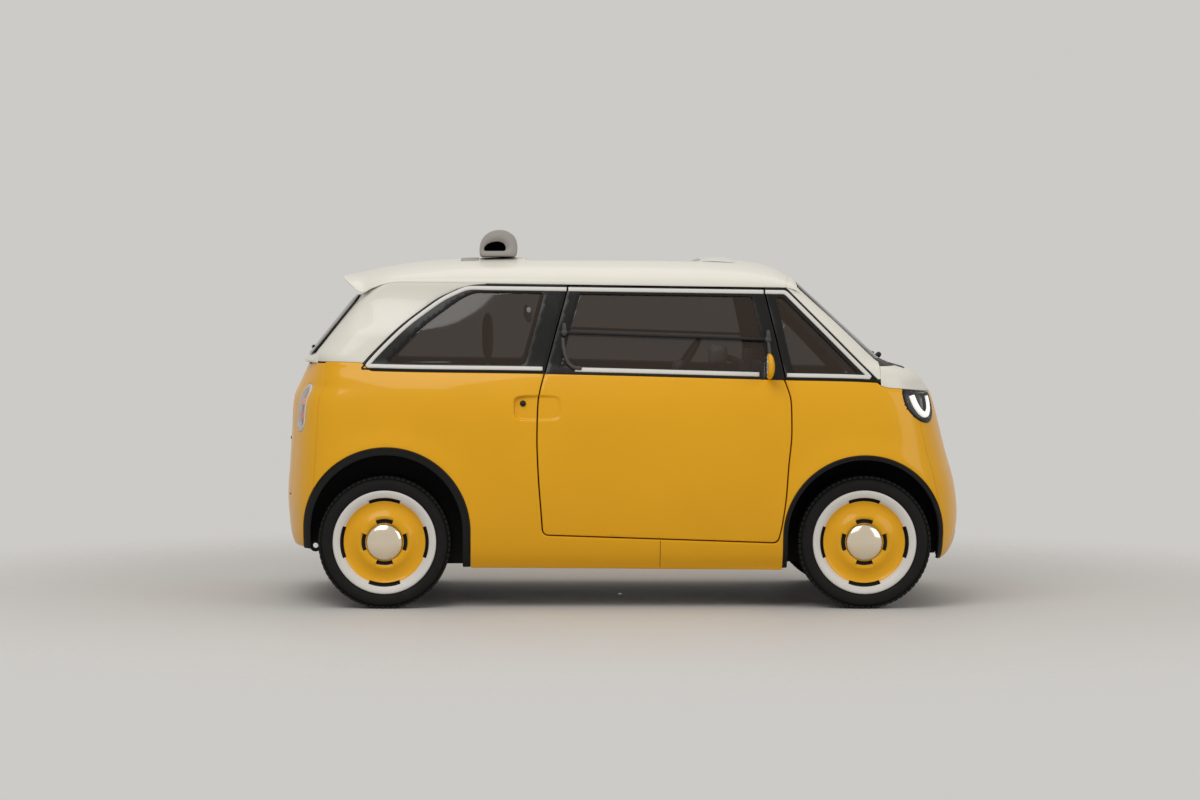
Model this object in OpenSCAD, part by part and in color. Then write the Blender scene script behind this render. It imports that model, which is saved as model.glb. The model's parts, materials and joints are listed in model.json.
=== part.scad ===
// Two-door city car, a concept design: curved body panels on a flat floor, a glazed cabin, doors,
// a tailgate and a bonnet on hinges, steered front wheels and a rear beam axle.
// X runs forward, Y to the left and Z up. The origin is on the ground, midway along the car.
// Outlines in the side view are [x, z] pairs, and curves are rows of [where, value].

/* [Body] */
// Width over the body sides
body_w = 1560; // [1480:10:1640]
// Height of the roof's crown
roof_h = 1587; // [1560:1:1620]
// Height of the roof's lower edge, above the side windows
rail_h = 1455; // [1440:1:1470]
// Height of the belt line at mid length
belt_h = 1043; // [1035:1:1050]
// Height of the sill's lower edge
sill_h = 178; // [150:1:200]
// Height of the door's lower edge at mid length
door_foot_h = 324; // [310:1:340]
// Thickness of doors and body walls
wall = 60; // [40:1:75]
// Thickness of the roof and the pillars
roof_t = 22; // [12:1:30]
// Thickness of the window glass
glass_t = 5; // [4:0.5:6]
// Clearance round doors, bonnet and tailgate
shut_gap = 6; // [5.5:0.5:8]
// Seam between fixed panels
seam = 0.6; // [0.4:0.1:1.5]

/* [Wheels] */
// Distance between the axles
wheelbase = 2160; // [2120:10:2240]
// Outer diameter of the tyres
tyre_d = 598; // [580:2:610]
// Width of the tyres
tyre_w = 175; // [155:5:185]
// Diameter over the rim's white flange
rim_d = 466; // [450:2:480]
// How far the tyres' outer faces lie inside the widest line of the body
tyre_tuck = 58; // [45:1:70]
// Radius of the front wheel arches
front_arch_r = 366; // [360:1:372]
// Radius of the rear wheel arches
rear_arch_r = 380; // [372:1:388]
// Greatest steering angle, which the front wheel houses leave room for
steer_deg = 30; // [25:1:32]

/* [Cabin] */
// Diameter of the steering wheel
steering_d = 350; // [320:5:370]
// Rake of the steering wheel's plane from upright
steering_rake = 33; // [25:1:40]
// Width of one front seat
seat_w = 470; // [420:5:500]

/* [Hidden] */
$fn = 64;

yellow = "#e8a800";
white = "#e6dfce";
black = "#1b1a19";
glass_tint = [0.1, 0.08, 0.07, 0.5];

// Axles, wheel centres and arches
front_axle = wheelbase / 2 - 5;
rear_axle = -wheelbase / 2 - 5;
wheel_z = tyre_d / 2;
tyre_y = body_w / 2 - tyre_tuck - tyre_w / 2;
front_arch = [front_axle - 4, wheel_z + 29];
rear_arch = [rear_axle + 8, wheel_z + 51];
lip_t = 7;
front_wall_y = tyre_y - tyre_w / 2 * cos(steer_deg) - tyre_d / 2 * sin(steer_deg) - 12;
rear_wall_y = tyre_y - tyre_w / 2 - 22;
inner_y = body_w / 2 - 140;
fender_y = body_w / 2 - 112;
floor_h = 296;
floor_t = 20;
rail_y = body_w / 2 - 450;
roof_open_y = body_w / 2 - 380;

// The curves below are drawn for these heights and stretch with sill_h, belt_h and rail_h
drawn_sill = 178;
drawn_belt = 1043;
drawn_rail = 1455;
body_stretch = (belt_h - sill_h) / (drawn_belt - drawn_sill);
window_stretch = (rail_h - belt_h) / (drawn_rail - drawn_belt);
// Height on the car of a height on the drawing, and the other way round
function lift(z) = belt_h + (z - drawn_belt) * (z < drawn_belt ? body_stretch : window_stretch);
function drawn(z) = drawn_belt + (z - belt_h) / (z < belt_h ? body_stretch : window_stretch);

// Half width lost at each height, reach ahead of the front axle and reach behind the rear axle
side_inset = [[drawn_sill, 92], [240, 54], [330, 30], [480, 9], [650, 0], [820, 4], [940, 17], [1020, 36],
    [1075, 56], [1107, 66], [1200, 86], [1330, 114], [1455, 146], [1520, 166]];
nose_reach = [[drawn_sill, 345], [235, 418], [320, 458], [430, 470], [560, 458], [700, 424], [830, 392],
    [960, 352], [1005, 330], [1040, 303], [1070, 260], [1085, 215], [1095, 178], [1110, 138],
    [1124, 112], [1200, 29], [1300, -80], [1400, -189], [1479, -275], [1530, -331]];
tail_reach = [[drawn_sill, 365], [285, 420], [400, 447], [500, 453], [650, 446], [800, 438], [940, 424],
    [1010, 400], [1110, 364], [1142, 358], [1200, 313], [1300, 233], [1420, 137], [1520, 57]];
corner_p = [[1000, 18], [1130, 28]];
corner_q = 2.2;
flare_h = 10;
flare_w = 60;

// Door edges: distance behind the front axle and ahead of the rear axle, at each height
door_front_in = [[300, 396], [327, 389], [377, 378], [489, 362], [647, 349], [759, 337], [827, 335],
    [939, 338], [984, 349], [1029, 365], [1060, 377]];
door_rear_in = [[300, 717], [330, 715], [449, 706], [575, 696], [721, 689], [819, 689], [936, 694],
    [999, 706], [1058, 722]];
// Upper edge of the coloured body along the car
body_top = [[rear_axle - 460, 67], [rear_axle - 104, 64], [rear_axle - 80, 42], [rear_axle - 56, 28],
    [rear_axle + 720, 15], [front_axle - 360, -13], [front_axle + 52, -25], [front_axle + 75, -41],
    [front_axle + 110, -49], [front_axle + 160, -53], [front_axle + 340, -72]];
// Roof: height of the crown below roof_h along the car
roof_drop = [[rear_axle - 195, 84], [rear_axle - 115, 68], [rear_axle - 15, 46], [rear_axle + 135, 24],
    [rear_axle + 335, 7], [rear_axle + 785, 0], [front_axle - 775, 4], [front_axle - 525, 17],
    [front_axle - 395, 42], [front_axle - 315, 82], [front_axle - 290, 100]];
// Rear edge of the side windows, ahead of the rear axle, at each height
window_rear = [[1040, -140], [1107, -92], [1162, -42], [1271, 71], [1357, 184], [1402, 252],
    [1422, 297], [1447, 360], [1462, 470]];

// Lower edge of the roof behind the rear axle, above rail_h
eaves = [[rear_axle - 195, 40], [rear_axle - 112, -34], [rear_axle - 60, -14], [rear_axle, 6],
    [rear_axle + 60, 14]];

function mix(a, b, t) = a + (b - a) * t;
function slope(t, i) = let (a = max(i - 1, 0), b = min(i + 1, len(t) - 1))
    (t[b][1] - t[a][1]) / (t[b][0] - t[a][0]);
function row(t, x) = max([for (k = [0 : len(t) - 2]) if (t[k][0] <= x) k]);
function bend(s, a, b, m, n) = (2 * s ^ 3 - 3 * s ^ 2 + 1) * a + (s ^ 3 - 2 * s ^ 2 + s) * m
    + (3 * s ^ 2 - 2 * s ^ 3) * b + (s ^ 3 - s ^ 2) * n;
// Smooth curve through the rows [x, value] of a table
function curve(t, x) = x <= t[0][0] ? t[0][1] : x >= t[len(t) - 1][0] ? t[len(t) - 1][1] :
    let (i = row(t, x), h = t[i + 1][0] - t[i][0])
    bend((x - t[i][0]) / h, t[i][1], t[i + 1][1], slope(t, i) * h, slope(t, i + 1) * h);

function half_w(z) = body_w / 2 - curve(side_inset, drawn(z));
function nose_x(z) = front_axle + curve(nose_reach, drawn(z));
function tail_x(z) = rear_axle - curve(tail_reach, drawn(z));
function end_x(x, z) = x > 0 ? nose_x(z) : -tail_x(z);
function plan_y(x, z) = let (share = min(abs(x) / end_x(x, z), 0.99999))
    half_w(z) * (1 - share ^ curve(corner_p, drawn(z))) ^ (1 / corner_q);
function plan_x(y, z, end) = (end > 0 ? nose_x(z) : tail_x(z))
    * (1 - min(abs(y) / half_w(z), 0.99999) ^ corner_q) ^ (1 / curve(corner_p, drawn(z)));
function arch_dist(x, z, c) = z > c[1] ? norm([x - c[0], z - c[1]]) : abs(x - c[0]);
function bump(r, size) = flare_h * exp(-((r - size) / flare_w) ^ 2);
function flare(x, z) = bump(arch_dist(x, z, front_arch), front_arch_r)
    + bump(arch_dist(x, z, rear_arch), rear_arch_r);
function side_y(x, z) = plan_y(x, z) + flare(x, z);
function side(x, z, in = 0) = [x, in - side_y(x, z), z];
function nose(y, z) = [plan_x(y, z, 1), y, z];
function tail(y, z) = [plan_x(y, z, -1), y, z];
function door_front(z) = front_axle - curve(door_front_in, drawn(z));
function door_rear(z) = rear_axle + curve(door_rear_in, drawn(z));
function door_foot(x) = door_foot_h - 0.034 * x;
function top_z(x) = belt_h + curve(body_top, x);
function wall_z(x, v) = mix(door_foot(x) - shut_gap + seam, top_z(x), v);
// Where the edge e(z) of a side panel lies at a share v of the panel's height
function edge_x(e, v) = e(wall_z(e(wall_z(e(mix(door_foot_h, belt_h, v)), v)), v));
function corner_y(z) = 0.92 * half_w(z);
function corner_front(z) = plan_x(corner_y(z), z, 1);
function corner_rear(z) = plan_x(corner_y(z), z, -1);

// A solid between an outer surface f(u, v) and an inner surface g(u, v)
module skin(f, g, nu, nv) {
    n = (nu + 1) * (nv + 1);
    w = nu + 1;
    grid = function (h) [for (j = [0 : nv]) for (i = [0 : nu]) h(i / nu, j / nv)];
    rim = concat([for (i = [0 : nu - 1]) i], [for (j = [0 : nv - 1]) j * w + nu],
        [for (i = [nu : -1 : 1]) nv * w + i], [for (j = [nv : -1 : 1]) j * w]);
    m = len(rim);
    outer = [for (j = [0 : nv - 1]) for (i = [0 : nu - 1]) each let (a = j * w + i)
        [[a, a + w, a + 1], [a + 1, a + w, a + w + 1]]];
    inner = [for (t = outer) [n + t[0], n + t[2], n + t[1]]];
    edge = [for (k = [0 : m - 1]) each let (a = rim[k], b = rim[(k + 1) % m])
        [[a, b, n + a], [b, n + b, n + a]]];
    polyhedron(points = concat(grid(f), grid(g)), faces = concat(outer, inner, edge), convexity = 6);
}
// The surface f set back by t along its normal
function behind(f, t) = function (u, v) let (e = 0.003,
    a = f(min(u + e, 1), v) - f(max(u - e, 0), v), b = f(u, min(v + e, 1)) - f(u, max(v - e, 0)),
    c = cross(a, b)) f(u, v) - t * c / norm(c);
module shell(f, nu, nv, t) skin(f, behind(f, t), nu, nv);
// The same with the heights held where w(u, v) is 0, so that the edge stays level
function level(f, t, w) = let (g = behind(f, t))
    function (u, v) let (p = g(u, v)) [p[0], p[1], mix(f(u, v)[2], p[2], w(u, v))];
// The inside of a fender or quarter panel: a plane, drawn out to the corner panel at its end
function inside(p, y, k) = [p[0], -mix(y, corner_y(p[1]) - 8, k ^ 2), p[1]];
module level_shell(f, nu, nv, t, w) skin(f, level(f, t, w), nu, nv);
// A front or rear face, whose wall goes straight across at its two side edges
module face_shell(f, nu, nv, t) let (g = behind(f, t)) skin(f, function (u, v) let (p = f(u, v))
    mix(g(u, v), p - [0, t * sign(p[1]), 0], abs(2 * u - 1) ^ 6), nu, nv);
module both() { children(); mirror([0, 1, 0]) children(); }
// A solid from the side-view outline of its children, from y = -a to y = -b on the right
module across(a, b) translate([0, -a, 0]) rotate([90, 0, 0]) linear_extrude(b - a) children();
module arch_shape(c, r) translate(c) { circle(r); translate([-r, -c[1] - 50]) square([2 * r, c[1] + 50]); }
module arches() {
    across(200, 1000) arch_shape(front_arch, front_arch_r);
    across(200, 1000) arch_shape(rear_arch, rear_arch_r);
}

// Side windows: four edges in the side view, below, ahead, above and behind
function rail_z(x) = rail_h + (x > rear_axle + 60 ? -0.0138 * x : curve(eaves, x));
function crown_z(x) = roof_h - curve(roof_drop, x);
function pillar_b(z) = rear_axle + 723 + 0.274 * (drawn(z) - 1058);
function pillar_a(z) = front_axle - 359 - 0.218 * (drawn(z) - 1031);
function window_front(z) = front_axle - 341 + 0.973 * (1443 - drawn(z));
function window_back(z) = rear_axle + curve(window_rear, drawn(z));
function sill_line(x) = top_z(x) + seam;
// Four edges that meet: behind and ahead as x(z), below and above as z(x)
function meet(e, h, z) = let (a = e(h(e(h(e(z)))))) [a, h(a)];
function loop4(behind, ahead, below, above) = let (
        a = meet(behind, below, belt_h + 27), b = meet(ahead, below, belt_h - 3),
        c = meet(ahead, above, rail_h), d = meet(behind, above, rail_h))
    function (s, t)
        s == 0 ? let (x = mix(a[0], b[0], t)) [x, below(x)] :
        s == 1 ? let (z = mix(b[1], c[1], t)) [ahead(z), z] :
        s == 2 ? let (x = mix(c[0], d[0], t)) [x, above(x)] :
        let (z = mix(d[1], a[1], t ^ 1.5)) [behind(z), z];
function quarter_loop(k) = loop4(
    function (z) window_back(z) + 1 + max(0, 0.12 * (1165 - drawn(z))) + 72 * k,
    function (z) pillar_b(z) - shut_gap - 96 * k,
    function (x) sill_line(x) + (x < rear_axle ? 4 : 0) + 40 * k, function (x) rail_z(x) - seam - 48 * k);
function vent_loop(k) = loop4(
    function (z) pillar_a(z) + shut_gap + 34 * k, function (z) window_front(z) - seam - 72 * k,
    function (x) sill_line(min(x, front_axle + 44)) + 40 * k, function (x) rail_z(x) - seam - 50 * k);
function door_loop(k) = loop4(function (z) pillar_b(z) + 78 * k, function (z) pillar_a(z) - 72 * k,
    function (x) sill_line(x) + 42 * k, function (x) rail_z(x) - shut_gap - 40 * k);
function pane(b, u, v) = mix(b(0, u), b(2, 1 - u), v) + mix(b(3, 1 - v), b(1, v), u)
    - mix(mix(b(0, 0), b(0, 1), u), mix(b(2, 1), b(2, 0), u), v);
function cabin(p, in) = [p[0], in - plan_y(p[0], p[1]), p[1]];
function rear_face(p, in) = [plan_x(p[0], p[1], -1) + in, p[0], p[1]];
// A frame between two loops of four edges, on a surface
module ring(bo, bi, n, m, t0, t1) {
    loop = function (b, in) [for (s = [0 : 3]) for (i = [0 : n - 1]) m(b(s, i / n), in)];
    c = 4 * n;
    points = concat(loop(bo, t0), loop(bi, t0), loop(bo, t1), loop(bi, t1));
    faces = [for (k = [0 : c - 1]) each let (a = k, b = (k + 1) % c) [
        [a, c + a, b], [b, c + a, c + b],
        [2 * c + a, 2 * c + b, 3 * c + a], [2 * c + b, 3 * c + b, 3 * c + a],
        [a, b, 2 * c + a], [b, 2 * c + b, 2 * c + a],
        [c + a, 3 * c + a, c + b], [c + b, 3 * c + a, 3 * c + b]]];
    polyhedron(points = points, faces = faces, convexity = 6);
}
module side_pane(b, nu, nv, in) skin(function (u, v) cabin(pane(b, u, v), in),
    function (u, v) cabin(pane(b, u, v), in + glass_t), nu, nv);
function shrink(b, c, s) = function (i, t) let (p = b(i, t)) p + s * (c - p) / norm(c - p);

// Lamps
lamp_at = [front_axle + 233, 96 - body_w / 2, lift(950)];
lamp_r = 108;
lamp_turn = 45;
module lamp_axis() translate(lamp_at) rotate([0, 0, -lamp_turn]) rotate([0, 84, 0]) children();
tail_lamp_at = [body_w / 2 - 192, lift(900)];
module tail_lamp_shape(r) {
    for (s = [-1, 1]) translate([tail_lamp_at[0], tail_lamp_at[1] + 62 * s]) circle(r);
    translate([tail_lamp_at[0] - r, tail_lamp_at[1] - 62]) square([2 * r, 124]);
}
module tail_lamp_bore(r, a, b) translate([rear_axle - b, 0, 0]) rotate([90, 0, 90])
    linear_extrude(b - a) mirror([1, 0]) tail_lamp_shape(r);

function fender_at(u, v) = let (
    back = edge_x(function (z) door_front(z) + shut_gap, v),
    front = edge_x(function (z) corner_front(z) - seam, v),
    x = mix(back, front, u ^ 0.85)) [x, wall_z(x, v)];
module fender() difference() {
    skin(function (u, v) let (p = fender_at(u, v)) side(p[0], p[1]),
        function (u, v) inside(fender_at(u, v), fender_y, u), 12, 10);
    across(200, 1000) arch_shape(front_arch, front_arch_r);
    lamp_axis() cylinder(r = lamp_r + 0.4, h = 500, center = true);
    for (z = hinge_zs) hinge_pocket(z, -20, 9);
}
module front_fenders() color(yellow) both() { fender(); for (z = hinge_zs) hinge_pin(z); }

function quarter_at(u, v) = let (
    back = edge_x(function (z) corner_rear(z) + 9 * seam, v),
    front = edge_x(function (z) door_rear(z) - shut_gap, v),
    x = mix(back, front, u ^ 1.2)) [x, wall_z(x, v)];
module quarter() difference() {
    skin(function (u, v) let (p = quarter_at(u, v)) side(p[0], p[1]),
        function (u, v) inside(quarter_at(u, v), inner_y, 1 - 0.8 * u), 14, 10);
    across(200, 1000) arch_shape(rear_arch, rear_arch_r);
}
module rear_quarters() color(yellow) both() quarter();

function sill_at(u, v) = let (x = mix(rear_arch[0], front_arch[0], u))
    [x, mix(sill_h, door_foot(x) - shut_gap, v)];
module sill() difference() {
    skin(function (u, v) let (p = sill_at(u, v)) side(p[0], p[1]),
        function (u, v) let (p = sill_at(u, v)) [p[0], -inner_y, p[1]], 16, 3);
    arches();
}
module sills() color(yellow) both() sill();

nose_foot = lift(228);
nose_top = lift(972);
module nose_panel() color(yellow) difference() {
    face_shell(function (u, v) let (z = mix(nose_foot, nose_top, v))
        nose(corner_y(z) * sin(180 * u - 90), z), 18, 9, 34);
    both() across(200, 1000) arch_shape(front_arch, front_arch_r);
    both() lamp_axis() cylinder(r = lamp_r + 0.4, h = 500, center = true);
}

tail_foot = lift(285);
tail_top = lift(1104);
gate_y = body_w / 2 - 300;
gate_foot = lift(500);
module tail_panel() color(yellow) difference() {
    face_shell(function (u, v) let (z = mix(tail_foot, tail_top, v))
        tail(corner_y(z) * sin(90 - 180 * u), z), 18, 9, 30);
    both() across(200, 1000) arch_shape(rear_arch, rear_arch_r);
    translate([rear_axle - 700, -gate_y - shut_gap, gate_foot - shut_gap])
        cube([600, 2 * (gate_y + shut_gap), tail_top]);
    both() tail_lamp_bore(45.4, 200, 700);
}

module headlamps() both() difference() {
    intersection() {
        lamp_axis() translate([0, 0, -110]) cylinder(r = lamp_r, h = 160);
        lamp_axis() translate([0, 0, -155]) sphere(r = 165);
    }
    across(300, 1200) polygon(concat([[front_axle + 500, rail_h], [front_axle + 40, rail_h]],
        [for (x = [front_axle + 40 : 30 : front_axle + 500]) [x, top_z(x) - 0.4]]));
}
function lamp_back(u, v) =
    tail(-tail_lamp_at[0] + mix(88, -92, u), tail_lamp_at[1] + mix(-120, 120, v));
module tail_lamps() both() intersection() {
    tail_lamp_bore(45, 200, 700);
    skin(function (u, v) lamp_back(u, v) - [9, 0, 0],
        function (u, v) [rear_axle - 201, lamp_back(u, v)[1], lamp_back(u, v)[2]], 8, 4);
}

module lamps() color("#d8d4cc") { headlamps(); tail_lamps(); }

function roof_half(x) = half_w(rail_h) - 38 * ((x + 150) / 1000) ^ 4;
function roof_at(x, s) = [x, s * roof_half(x), mix(rail_z(x), crown_z(x), sqrt(max(1 - abs(s) ^ 3, 0)))];
function roof_f(u, v) = let (s = sin(180 * v - 90))
    roof_at(mix(rear_axle - 192, front_axle - 287 - 55 * s ^ 2, u), s);
function ease(t) = let (c = max(0, min(1, t))) c * c * (3 - 2 * c);
function roof_g(u, v) = let (p = behind(function (a, b) roof_f(a, b), roof_t)(u, v))
    [p[0], p[1], mix(p[2], rail_z(p[0]) + 1, ease((rear_axle + 20 - p[0]) / 80))];
module roof() color(white) { roof_shell(); gate_pins(); }
module roof_shell() difference() {
    skin(function (u, v) roof_f(u, v), function (u, v) roof_g(u, v), 24, 16);
    translate([-440, -roof_open_y, rail_h + 30]) cube([810, 2 * roof_open_y, roof_h]);
}
function c_post_z(x, v) = mix(sill_line(x) + (x > rear_axle - 130 ? 4 : 0), rail_z(x) - 2.2, v);
function c_edge(e, v) = e(c_post_z(e(c_post_z(e(mix(tail_top, rail_h, v)), v)), v));
function c_post(u, v) = let (
    back = c_edge(function (z) plan_x(0.74 * half_w(z), z, -1), v),
    front = c_edge(function (z) window_back(z) - 7, v), x = mix(back, front, u ^ 1.5),
    z = c_post_z(x, v)) [x, -plan_y(x, z), z];
// Inner face of a pillar: along the normal at one edge and straight across at the window
function post_inner(f, t, w) = let (g = level(f, t, function (u, v) 0))
    function (u, v) mix(g(u, v), f(u, v) + [0, t, 0], w(u));
module c_pillars() both() let (f = function (u, v) c_post(u, 1 - (1 - v) ^ 1.5))
    skin(f, post_inner(f, roof_t, function (u) u), 10, 10);
post_x = front_axle + 71;
function a_post(u, v) = let (z = mix(lift(1036), rail_z(720) - 1.2, v),
    front = min(plan_x(0.885 * half_w(z), z, 1), post_x),
    x = mix(window_front(z), front, u)) [x, -plan_y(x, z), z];
module a_pillars() both() let (f = function (u, v) a_post(u, v))
    skin(f, post_inner(f, roof_t, function (u) 1 - u), 4, 10);
module pillars() color(white) { c_pillars(); a_pillars(); }
cap_y = body_w / 2 - 234;
cap_top = lift(1092);
lid_y = cap_y - 60;
function cap_side(u, z) = cap_y + (plan_y(post_x + 1.5, z) - cap_y) * cos(90 * u);
function cap_foot(u, z) = top_z(plan_x(cap_side(u, z), z, 1)) + seam + 1;
function cap_at(u, v) = let (foot = cap_foot(u, cap_foot(u, cap_foot(u, nose_top))),
    z = mix(foot, cap_top, v), y = cap_side(u, z)) [plan_x(y, z, 1), -y, z];
module wing_caps() color(white) both()
    level_shell(function (u, v) cap_at(u, v), 10, 4, 14, function (u, v) v);
lid_axis = [front_axle + 125, lift(1102)];
module lid_bar(y, h, r) translate([lid_axis[0], y + h / 2, lid_axis[1]]) rotate([90, 0, 0])
    cylinder(r = r, h = h);
function cowl_f(u, v) = nose((lid_y - 46) * sin(180 * u - 90), lift(mix(1103, 1123.6, v)));
module cowl() color(black) {
    skin(function (u, v) cowl_f(u, v),
        function (u, v) let (p = cowl_f(u, v)) [p[0], p[1], lift(1086)], 10, 1);
    wiper();
    for (s = [-1, 1]) { lid_bar(s * (lid_y - 8), 80, pin_r); lid_bar(s * (lid_y - 31), 30, 6);
        translate([lid_axis[0] - 24, s * (lid_y - 42) - 22, lid_axis[1] - 12]) cube([30, 44, 9]); }
}
module bonnet() color(white) {
    level_shell(function (u, v) let (z = mix(nose_top + shut_gap, lift(1096), v ^ 0.8))
        nose((cap_y - shut_gap) * sin(180 * u - 90), z), 14, 6, 14,
        function (u, v) min(1, 3 * v));
    for (s = [-1, 1]) difference() {
        union() {
            lid_bar(s * lid_y, 30, 6);
            translate([lid_axis[0], s * lid_y - 15, lid_axis[1] - 16]) cube([44, 30, 12]);
        }
        lid_bar(s * lid_y, 60, pin_r + 0.06);
    }
}
module windscreen() shell(function (u, v) let (z = mix(lift(1124), lift(1478), v))
    nose((0.8837 * half_w(z) - seam) * sin(180 * u - 90), z), 12, 6, glass_t);
module side_frames() color(black) both() {
    ring(quarter_loop(0), quarter_loop(1), 10, function (p, in) cabin(p, in), 3, roof_t + 8);
    ring(vent_loop(0), vent_loop(1), 6, function (p, in) cabin(p, in), 3, roof_t + 8);
}
module side_glass() both() {
    side_pane(shrink(quarter_loop(1), [rear_axle + 500, lift(1250)], 1.2), 8, 6, 9);
    side_pane(shrink(vent_loop(1), [front_axle - 250, lift(1150)], 1.2), 6, 4, 9);
}
module glazing() color(glass_tint) { windscreen(); side_glass(); }

// Doors, right-hand one first
hinge_x = front_axle - 332;
hinge_y = body_w / 2 + 3;
hinge_zs = [lift(690), lift(905)];
pin_r = 3;
function door_z(x, v) = mix(door_foot(x), top_z(x), v);
function door_edge(e, v) = e(door_z(e(door_z(e(mix(door_foot_h, belt_h, v)), v)), v));
// Outer face of the door, or its inner face, set in and drawn back from the shut lines
function door_face(u, v, in) = let (k = in > 0 ? 1 : 0,
        back = door_edge(function (z) door_rear(z), v) + 14 * k,
        front = door_edge(function (z) door_front(z), v) - 6 * k, x = mix(back, front, u))
    side(x, door_z(x, v) + 3 * k * (1 - v), in);
// Hinge on the door's front edge: a pin and leaf on the body below, a knuckle and leaf on the door above
module hinge_pocket(z, a, b) translate([hinge_x + a, -hinge_y - 40, z - 46]) cube([b - a, 86.3, 92]);
module hinge_pin(z) {
    translate([hinge_x, -hinge_y, z - 40]) { cylinder(r = 6, h = 39); cylinder(r = pin_r, h = 78); }
    translate([hinge_x - 2, -hinge_y, z - 40]) cube([10.6, 46, 39]);
}
module hinge_knuckle(z) difference() {
    union() {
        translate([hinge_x, -hinge_y, z - 0.7]) cylinder(r = 6, h = 40);
        translate([hinge_x - 24, -hinge_y, z - 0.7]) cube([26, 46, 40]);
    }
    translate([hinge_x, -hinge_y, z - 2]) cylinder(r = pin_r + 0.06, h = 50);
}
module door_shell() {
    difference() {
        skin(function (u, v) door_face(u, v, 0), function (u, v) door_face(u, v, wall), 10, 10);
        for (z = hinge_zs) hinge_pocket(z, -24, 20);
    }
    for (z = hinge_zs) hinge_knuckle(z);
}
module door_right() color(yellow) door_shell();
module door_left() color(yellow) mirror([0, 1, 0]) door_shell();
module door_frame() {
    ring(door_loop(0), door_loop(1), 8, function (p, in) cabin(p, in), 3, roof_t + 8);
    door_rail();
}
module door_frame_right() color(black) door_frame();
module door_frame_left() color(black) mirror([0, 1, 0]) door_frame();
module door_pane() side_pane(shrink(door_loop(1), [front_axle - 900, lift(1240)], 1.2), 6, 6, 12);
module door_glass_right() color(glass_tint) door_pane();
module door_glass_left() color(glass_tint) mirror([0, 1, 0]) door_pane();
guard_z = lift(1215);
rail_in = [pillar_b(guard_z) + 40, pillar_a(guard_z) - 40];
module door_rail() {
    translate([rail_in[0], -plan_y(0, guard_z) - 14, guard_z + 7]) rotate([0, 91.5, 0])
        cylinder(r = 11, h = rail_in[1] - rail_in[0]);
    for (x = rail_in) translate([x, -plan_y(x, guard_z) - 14, guard_z + 7 - 0.026 * (x - rail_in[0])])
        rotate([-90, 0, 0]) cylinder(r = 13, h = 24);
}
mirror_z = lift(1100);
mirror_y = plan_y(front_axle - 475, mirror_z);
module mirror_body() {
    translate([front_axle - 445, -mirror_y - 70, mirror_z]) rotate([0, 90, 0]) cylinder(r = 58, h = 40);
    translate([front_axle - 425, -mirror_y - 60, mirror_z]) rotate([-90, 0, 0]) cylinder(r = 10, h = 59.4);
}
module mirror_right() color(yellow) mirror_body();
module mirror_left() color(yellow) mirror([0, 1, 0]) mirror_body();

// Tailgate
module tailgate_panel() color(yellow) shell(
    function (u, v) tail(mix(gate_y, -gate_y, u), mix(gate_foot, lift(1098), v)), 12, 8, 35);
function gate_loop(k) = function (s, t)
    let (y = gate_y - 40 - 55 * k, a = lift(1098.3 + 45 * k), b = lift(1412 - 40 * k))
    s == 0 ? [mix(y, -y, t), a] : s == 1 ? [-y, mix(a, b, t)] :
    s == 2 ? [mix(-y, y, t), b] : [y, mix(b, a, t)];
gate_axis = [rear_axle - 140, lift(1431)];
gate_ys = [180 - gate_y, gate_y - 180];
module gate_bar(y, h, r) translate([gate_axis[0], y + h / 2, gate_axis[1]]) rotate([90, 0, 0])
    cylinder(r = r, h = h);
module tailgate_frame() color(black) {
    ring(gate_loop(0), gate_loop(1), 8, function (p, in) rear_face(p, in), -6, 16);
    for (y = gate_ys) difference() {
        union() {
            gate_bar(y, 40, 6);
            translate([gate_axis[0] - 6, y - 20, gate_axis[1] - 31]) cube([10, 40, 31]);
        }
        gate_bar(y, 60, pin_r + 0.06);
    }
}
module gate_pins() for (y = gate_ys) {
    gate_bar(y, 100, pin_r);
    for (s = [-1, 1]) { gate_bar(y + 36 * s, 30, 6);
        translate([gate_axis[0] - 5, y + 36 * s - 15, gate_axis[1]]) cube([10, 30, 45]); }
}
function gate_pane(u, v, in) = rear_face([mix(gate_y + 20, -gate_y - 20, u), lift(mix(1142, 1397, v))], in);
module tailgate_glass() color(glass_tint)
    skin(function (u, v) gate_pane(u, v, -8 - glass_t), function (u, v) gate_pane(u, v, -8), 12, 4);

// Floor, battery and drive
module block(x0, x1, y, z0, z1) translate([x0, -y, z0]) cube([x1 - x0, 2 * y, z1 - z0]);
join = 0.2;
step_x = rear_axle + 435;
dash_x = front_axle - 215;
dash_y = inner_y - 40;
arch_top = front_arch[1] + front_arch_r + 11;
rear_floor = 560;
// Pressings of the underbody, spot welded face to face
module floor_pan() color(black) {
    block(step_x, dash_x - 170, inner_y - join, floor_h, floor_h + floor_t);
    block(step_x - 20, step_x - join, inner_y - join, floor_h, rear_floor + floor_t);
    block(rear_axle - 360, step_x - 20 - join, rear_wall_y - 7, rear_floor, rear_floor + floor_t);
    block(dash_x - 170 + join, dash_x - join, front_wall_y - 7, floor_h, floor_h + floor_t);
    block(dash_x, dash_x + 20, front_wall_y - 7, floor_h, arch_top - join);
    block(dash_x, dash_x + 20, dash_y, arch_top, belt_h - 43);
    both() translate([dash_x + 20 + join, -rail_y - 30, 260]) cube([front_axle + 363 - dash_x - 20, 60, 80]);
    both() translate([step_x - 30, -inner_y + join, 195])
        cube([dash_x - 170 - step_x + 30, 40, floor_h - join - 195]);
    tow_eye(front_axle + 310, 225, 260 - join);
    tow_eye(rear_axle - 330, 255, 300 - join);
    block(rear_axle - 360, rear_axle - 300, rail_y + 30, 300, 360);
    both() translate([rear_axle - 360, -rail_y - 30, 360 + join]) cube([60, 60, rear_floor - 360 - 2 * join]);
}
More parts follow.
